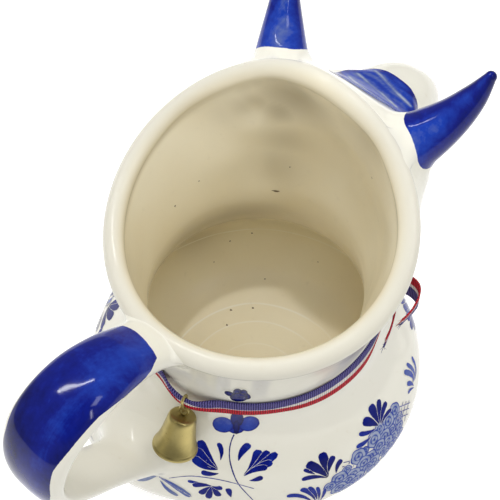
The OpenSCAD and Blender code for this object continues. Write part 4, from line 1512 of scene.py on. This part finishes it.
def knot():
    """The ribbon's knot: a pad with the creases of a strip drawn round itself."""
    rows, around = 22, 56
    a = np.arange(around) * 360 / around
    shares = np.linspace(0, 1, rows)
    grid, across = [], []
    for s in shares:
        wide = curve([0.7, 1.0, 0.97, 0.8, 0.45, 0.03], s)[0]
        out = KNOT_T * math.sin(math.radians(90 * s))
        crease = 1 - 0.1 * lobe(turned(a - 60), 16) - 0.08 * lobe(turned(a - 200), 14)
        x = KNOT_L / 2 * wide * cos_d(a) * crease
        z = KNOT_H / 2 * wide * sin_d(a) * crease
        dip = 0.25 * np.sin(x * 2.1 + z * 1.3) * math.sin(math.pi * s)
        grid.append(place(KNOT_R + out + dip, KNOT_ANGLE + bent(x, KNOT_R), WAIST_Z + z))
        across.append(0.5 + (x * 0.6 + z * 0.8) / KNOT_H)
    faces = tube_faces(rows, around, caps=("first", "last"))
    shape = Shape()
    shape.add(np.array(grid), faces, across=np.clip(across, 0, 1), along=np.repeat(shares * 5, around))
    return shape.build("ribbon_tied_knot", RIBBON, "jug", "ribbon", ["ribbon_knot"])


knot()

TAIL_ROOT = bent(KNOT_L / 2 + 0.1, KNOT_R)
THREADS, THREAD_R, THREAD_MM, THREAD_SUNK = 18, 0.07, 2.2, 0.3
THREAD_ROWS, THREAD_SIDES = 7, 5


def fray(name, edge, ahead, across):
    """Loose threads that stand out of a cut end."""
    shape = Shape()
    ts = np.linspace(0, 1, THREAD_ROWS)[:, None]
    turns = np.arange(THREAD_SIDES)[:, None] * 360 / THREAD_SIDES
    u = unit(np.cross(ahead, [0.2, 0.1, 1]))
    ring = (u * cos_d(turns) + np.cross(ahead, u) * sin_d(turns)) * THREAD_R
    faces = tube_faces(THREAD_ROWS, THREAD_SIDES, caps=("first", "last"))
    for k in rng.permutation(len(edge))[:THREADS]:
        reach = THREAD_MM * rng.uniform(0.35, 1)
        bow = rng.normal(0, 0.5, 3)
        run = (reach + THREAD_SUNK) * ts - THREAD_SUNK
        line = edge[k] + ahead * run + bow * ts**2 * reach * 0.5
        grid = line[:, None, :] + ring * (1 - 0.4 * ts[:, None])
        shape.add(grid, faces, across=float(across[k]), along=np.repeat(ts * 2, THREAD_SIDES))
    shape.build(name, RIBBON, "jug", "ribbon")


def tail(name, node, length, shares):
    """A cut end of the ribbon, with its weave fraying."""
    ts = np.linspace(0, 1, 60)
    s = curve(shares, ts) * length
    ahead = curve(shares, np.minimum(ts + 0.02, 1)) - curve(shares, np.maximum(ts - 0.02, 0))
    rise = unit(np.stack([ahead[:, 0], ahead[:, 2]], axis=1))
    wide = RIBBON_W / 2 * 0.92
    r = KNOT_R + s[:, 1]
    a = KNOT_ANGLE - TAIL_ROOT - bent(s[:, 0], KNOT_R)
    ripple = 0.1 * np.sin(ts * 9)[:, None] * ROWS[None]
    ribs = 0.04 * np.sin(ts * length * 2 * math.pi / RIB_MM)[:, None]
    where_a = a[:, None] + bent(ROWS[None] * wide * rise[:, 1:], r[:, None])
    where_z = WAIST_Z + s[:, 2:] + ROWS[None] * wide * rise[:, :1]
    across = np.broadcast_to((1 - ROWS[None]) / 2, where_a.shape)
    inner = place(r[:, None] + 0.05 + ripple * smooth(ts)[:, None], where_a, where_z)
    outer = place(r[:, None] + RIBBON_T + ribs + ripple * smooth(ts)[:, None], where_a, where_z)
    strip(name, outer, inner, across, ts * length, node, False)
    fray(name + "_threads", (outer[-1] + inner[-1]) / 2, unit(outer[-1, 12] - outer[-6, 12]), across[-1])


tail(
    "striped_long_tail",
    "ribbon_long_tail",
    TAIL_LONG,
    [[0, 0.03, 0], [0.25, 0.04, 0.02], [0.5, 0.05, 0.08], [0.75, 0.06, 0.16], [1, 0.08, 0.2]],
)
tail(
    "striped_short_tail",
    "ribbon_short_tail",
    TAIL_SHORT,
    [[0, 0.13, 0.06], [0.2, 0.32, 0.24], [0.45, 0.44, 0.4], [0.7, 0.38, 0.42], [0.95, 0.24, 0.36]],
)


# The brass pieces


for node in ("bell_ring", "bell_loop", "clapper"):
    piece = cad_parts[node]
    piece.data.materials.clear()
    piece.data.materials.append(BRASS)

BELL_R, BELL_H, BELL_LEAN = 6.2, 12, 27.5
RING_WIRE, RING_INNER_GAP, LINK_L, LOOP_WIRE, LOOP_R, HANG_GAP = 0.8, 0.45, 4.1, 0.7, 1.2, 0.08
# Shares of the radius and of the height above the mouth, down the outside and up the inside
BELL_OUTLINE = [
    [0.08, 1.0], [0.34, 1.0], [0.5, 0.99], [0.575, 0.97],
    [0.62, 0.93], [0.645, 0.87], [0.675, 0.76], [0.715, 0.63],
    [0.76, 0.5], [0.81, 0.38], [0.865, 0.27], [0.915, 0.19],
    [0.95, 0.14], [0.965, 0.115], [1.0, 0.09], [1.015, 0.05],
    [1.0, 0.015], [0.96, 0.0], [0.91, 0.01], [0.88, 0.04],
    [0.86, 0.1], [0.8, 0.22], [0.73, 0.36], [0.67, 0.5],
    [0.61, 0.64], [0.57, 0.76], [0.53, 0.86], [0.46, 0.91], [0.3, 0.92], [0.08, 0.92],
]
BELL_AROUND = 96
bend_r = RIBBON_T / 2 + RING_WIRE / 2 + RING_INNER_GAP
ring_out = float(ribbon_radius(BELL_ANGLE)) + RIBBON_T / 2
lower_bend_z = WAIST_Z + float(ribbon_half(BELL_ANGLE)) - (bend_r - RING_WIRE / 2) * 0.7 - LINK_L
outward = place(1, BELL_ANGLE, 0)
bell_down = unit(outward * sin_d(BELL_LEAN) - np.array([0, 0, 1]) * cos_d(BELL_LEAN))
bell_side = unit(np.cross(bell_down, outward))
bell_front = np.cross(bell_side, bell_down)
crown_drop = LOOP_R - LOOP_WIRE / 2 - RING_WIRE / 2 - HANG_GAP + LOOP_R + LOOP_WIRE / 2
crown = place(ring_out, BELL_ANGLE, lower_bend_z) + bell_down * (bend_r + crown_drop)
bell_turns = np.arange(BELL_AROUND) * 360 / BELL_AROUND
outline = curve(BELL_OUTLINE, np.linspace(0, 1, 160))
across_bell = bell_side * cos_d(bell_turns)[:, None] + bell_front * sin_d(bell_turns)[:, None]
bell_rows = np.array(
    [crown + bell_down * BELL_H * (1 - height) + across_bell * BELL_R * share for share, height in outline]
)
bell_faces = tube_faces(len(bell_rows), BELL_AROUND, loop=True)
shape = Shape()
shape.add(bell_rows, bell_faces)
shape.build("turned_bell", BRASS, "bell", "brass", ["bell_shell"])


# The stage and the light


FLOOR_HALF_M, FLOOR_Z_M, FLOOR_GLOW = 1.5, -0.0002, 0.5
# The tent's light, its share in the opening and in what the glaze mirrors, and the opening's
# cosines from where its edge begins to where it is fully open
TENT_LIGHT, OPENING_LIGHT, MIRRORED_LIGHT, OPENING = 0.74, 0.4, 0.5, (0.8, 0.97)


def stage_material():
    """A pale floor that shows white to the eye but keeps the object's shadow."""
    n = Nodes(bpy.data.materials.new("pale_floor"))
    rays = n.add("LightPath")
    white = n.math("MAXIMUM", rays["Is Camera Ray"], rays["Is Glossy Ray"])
    white = n.math("MAXIMUM", white, rays["Is Transmission Ray"])
    base = n.add("BsdfDiffuse", {"Color": (0.8, 0.8, 0.8, 1)})[0]
    glow = n.add("Emission", {"Color": (1, 1, 1, 1), "Strength": n.times(white, FLOOR_GLOW)})[0]
    n.add("OutputMaterial", {0: n.add("AddShader", {0: base, 1: glow})[0]})
    return n.holder


def studio():
    """The studio's white tent, with a dim opening where the camera looks in."""
    n = Nodes(bpy.data.worlds.new("studio"))
    rays = n.add("LightPath")
    aims = {0: n.coords["Generated"], 1: tuple(unit(EYE))}
    toward = n.add("VectorMath", aims, operation="DOT_PRODUCT")["Value"]
    tent = n.span(toward, *OPENING, TENT_LIGHT, TENT_LIGHT * OPENING_LIGHT)
    dimmed = n.span(rays["Is Glossy Ray"], 0, 1, 1, MIRRORED_LIGHT, "LINEAR")
    shares = {0: rays["Is Camera Ray"], 2: n.times(tent, dimmed), 3: 1.0}
    strength = n.add("Mix", shares, data_type="FLOAT")[0]
    sky = n.add("Background", {"Color": (1, 0.995, 0.985, 1), "Strength": strength})
    n.add("OutputWorld", {0: sky[0]})
    return n.holder


floor_mesh = bpy.data.meshes.new("floor")
corners = [(x * FLOOR_HALF_M, y * FLOOR_HALF_M, FLOOR_Z_M) for x, y in ((-1, -1), (1, -1), (1, 1), (-1, 1))]
floor_mesh.from_pydata(corners, [], [(0, 1, 2, 3)])
floor_mesh.materials.append(stage_material())
floor = bpy.data.objects.new("floor", floor_mesh)
bpy.context.scene.collection.objects.link(floor)
bpy.context.scene.world = studio()


def hang(data, spot, aim, spin, mirrored):
    """Puts a lamp at a place in metres, turned toward another; mirrored if glossy rays see it."""
    made = bpy.data.objects.new(data.name, data)
    made.location = spot
    made.rotation_mode = "QUATERNION"
    facing = (Vector(aim) - Vector(spot)).to_track_quat("-Z", "Y")
    made.rotation_quaternion = Quaternion((0, 0, 1), math.radians(spin)) @ facing
    made.visible_glossy = mirrored
    bpy.context.scene.collection.objects.link(made)


# Each soft lamp's place and aim, its size in metres, its watts, its spin and whether it is mirrored
for name, spot, aim, size, watts, spin, mirrored in (
    ("strip", (0.37, -0.09, 1.0), (0.37, -0.09, 0.0), (0.035, 0.62), 2.0, -20, True),
    ("patch", (-0.36, -0.14, 1.0), (-0.05, 0, 0.0), (0.2, 0.2), 0.6, 0, True),
    ("edge", (-0.72, 0.05, 0.95), (0, 0, 0.1), (0.04, 0.5), 0.7, 0, True),
    ("side", (0.45, 0.2, 0.95), (0, 0, 0.05), (0.3, 0.3), 0.7, 0, False),
    ("fill", (-0.25, 0.32, 1.02), (0, 0, 0.05), (0.36, 0.36), 1.6, 0, False),
):
    data = bpy.data.lights.new(name, "AREA")
    data.shape, data.size, data.size_y, data.energy = "RECTANGLE", *size, watts
    hang(data, spot, aim, spin, mirrored)

# A hooded lamp that shines down into the jug
hood = bpy.data.lights.new("hooded", "SPOT")
hood.energy, hood.shadow_soft_size = 38, 0.04
hood.spot_size, hood.spot_blend = math.radians(3.4), 1.0
hang(hood, (-0.02, 0.07, 1.16), (-0.002, -0.01, 0.02), 0, False)

bpy.context.scene.view_settings.view_transform = "Standard"
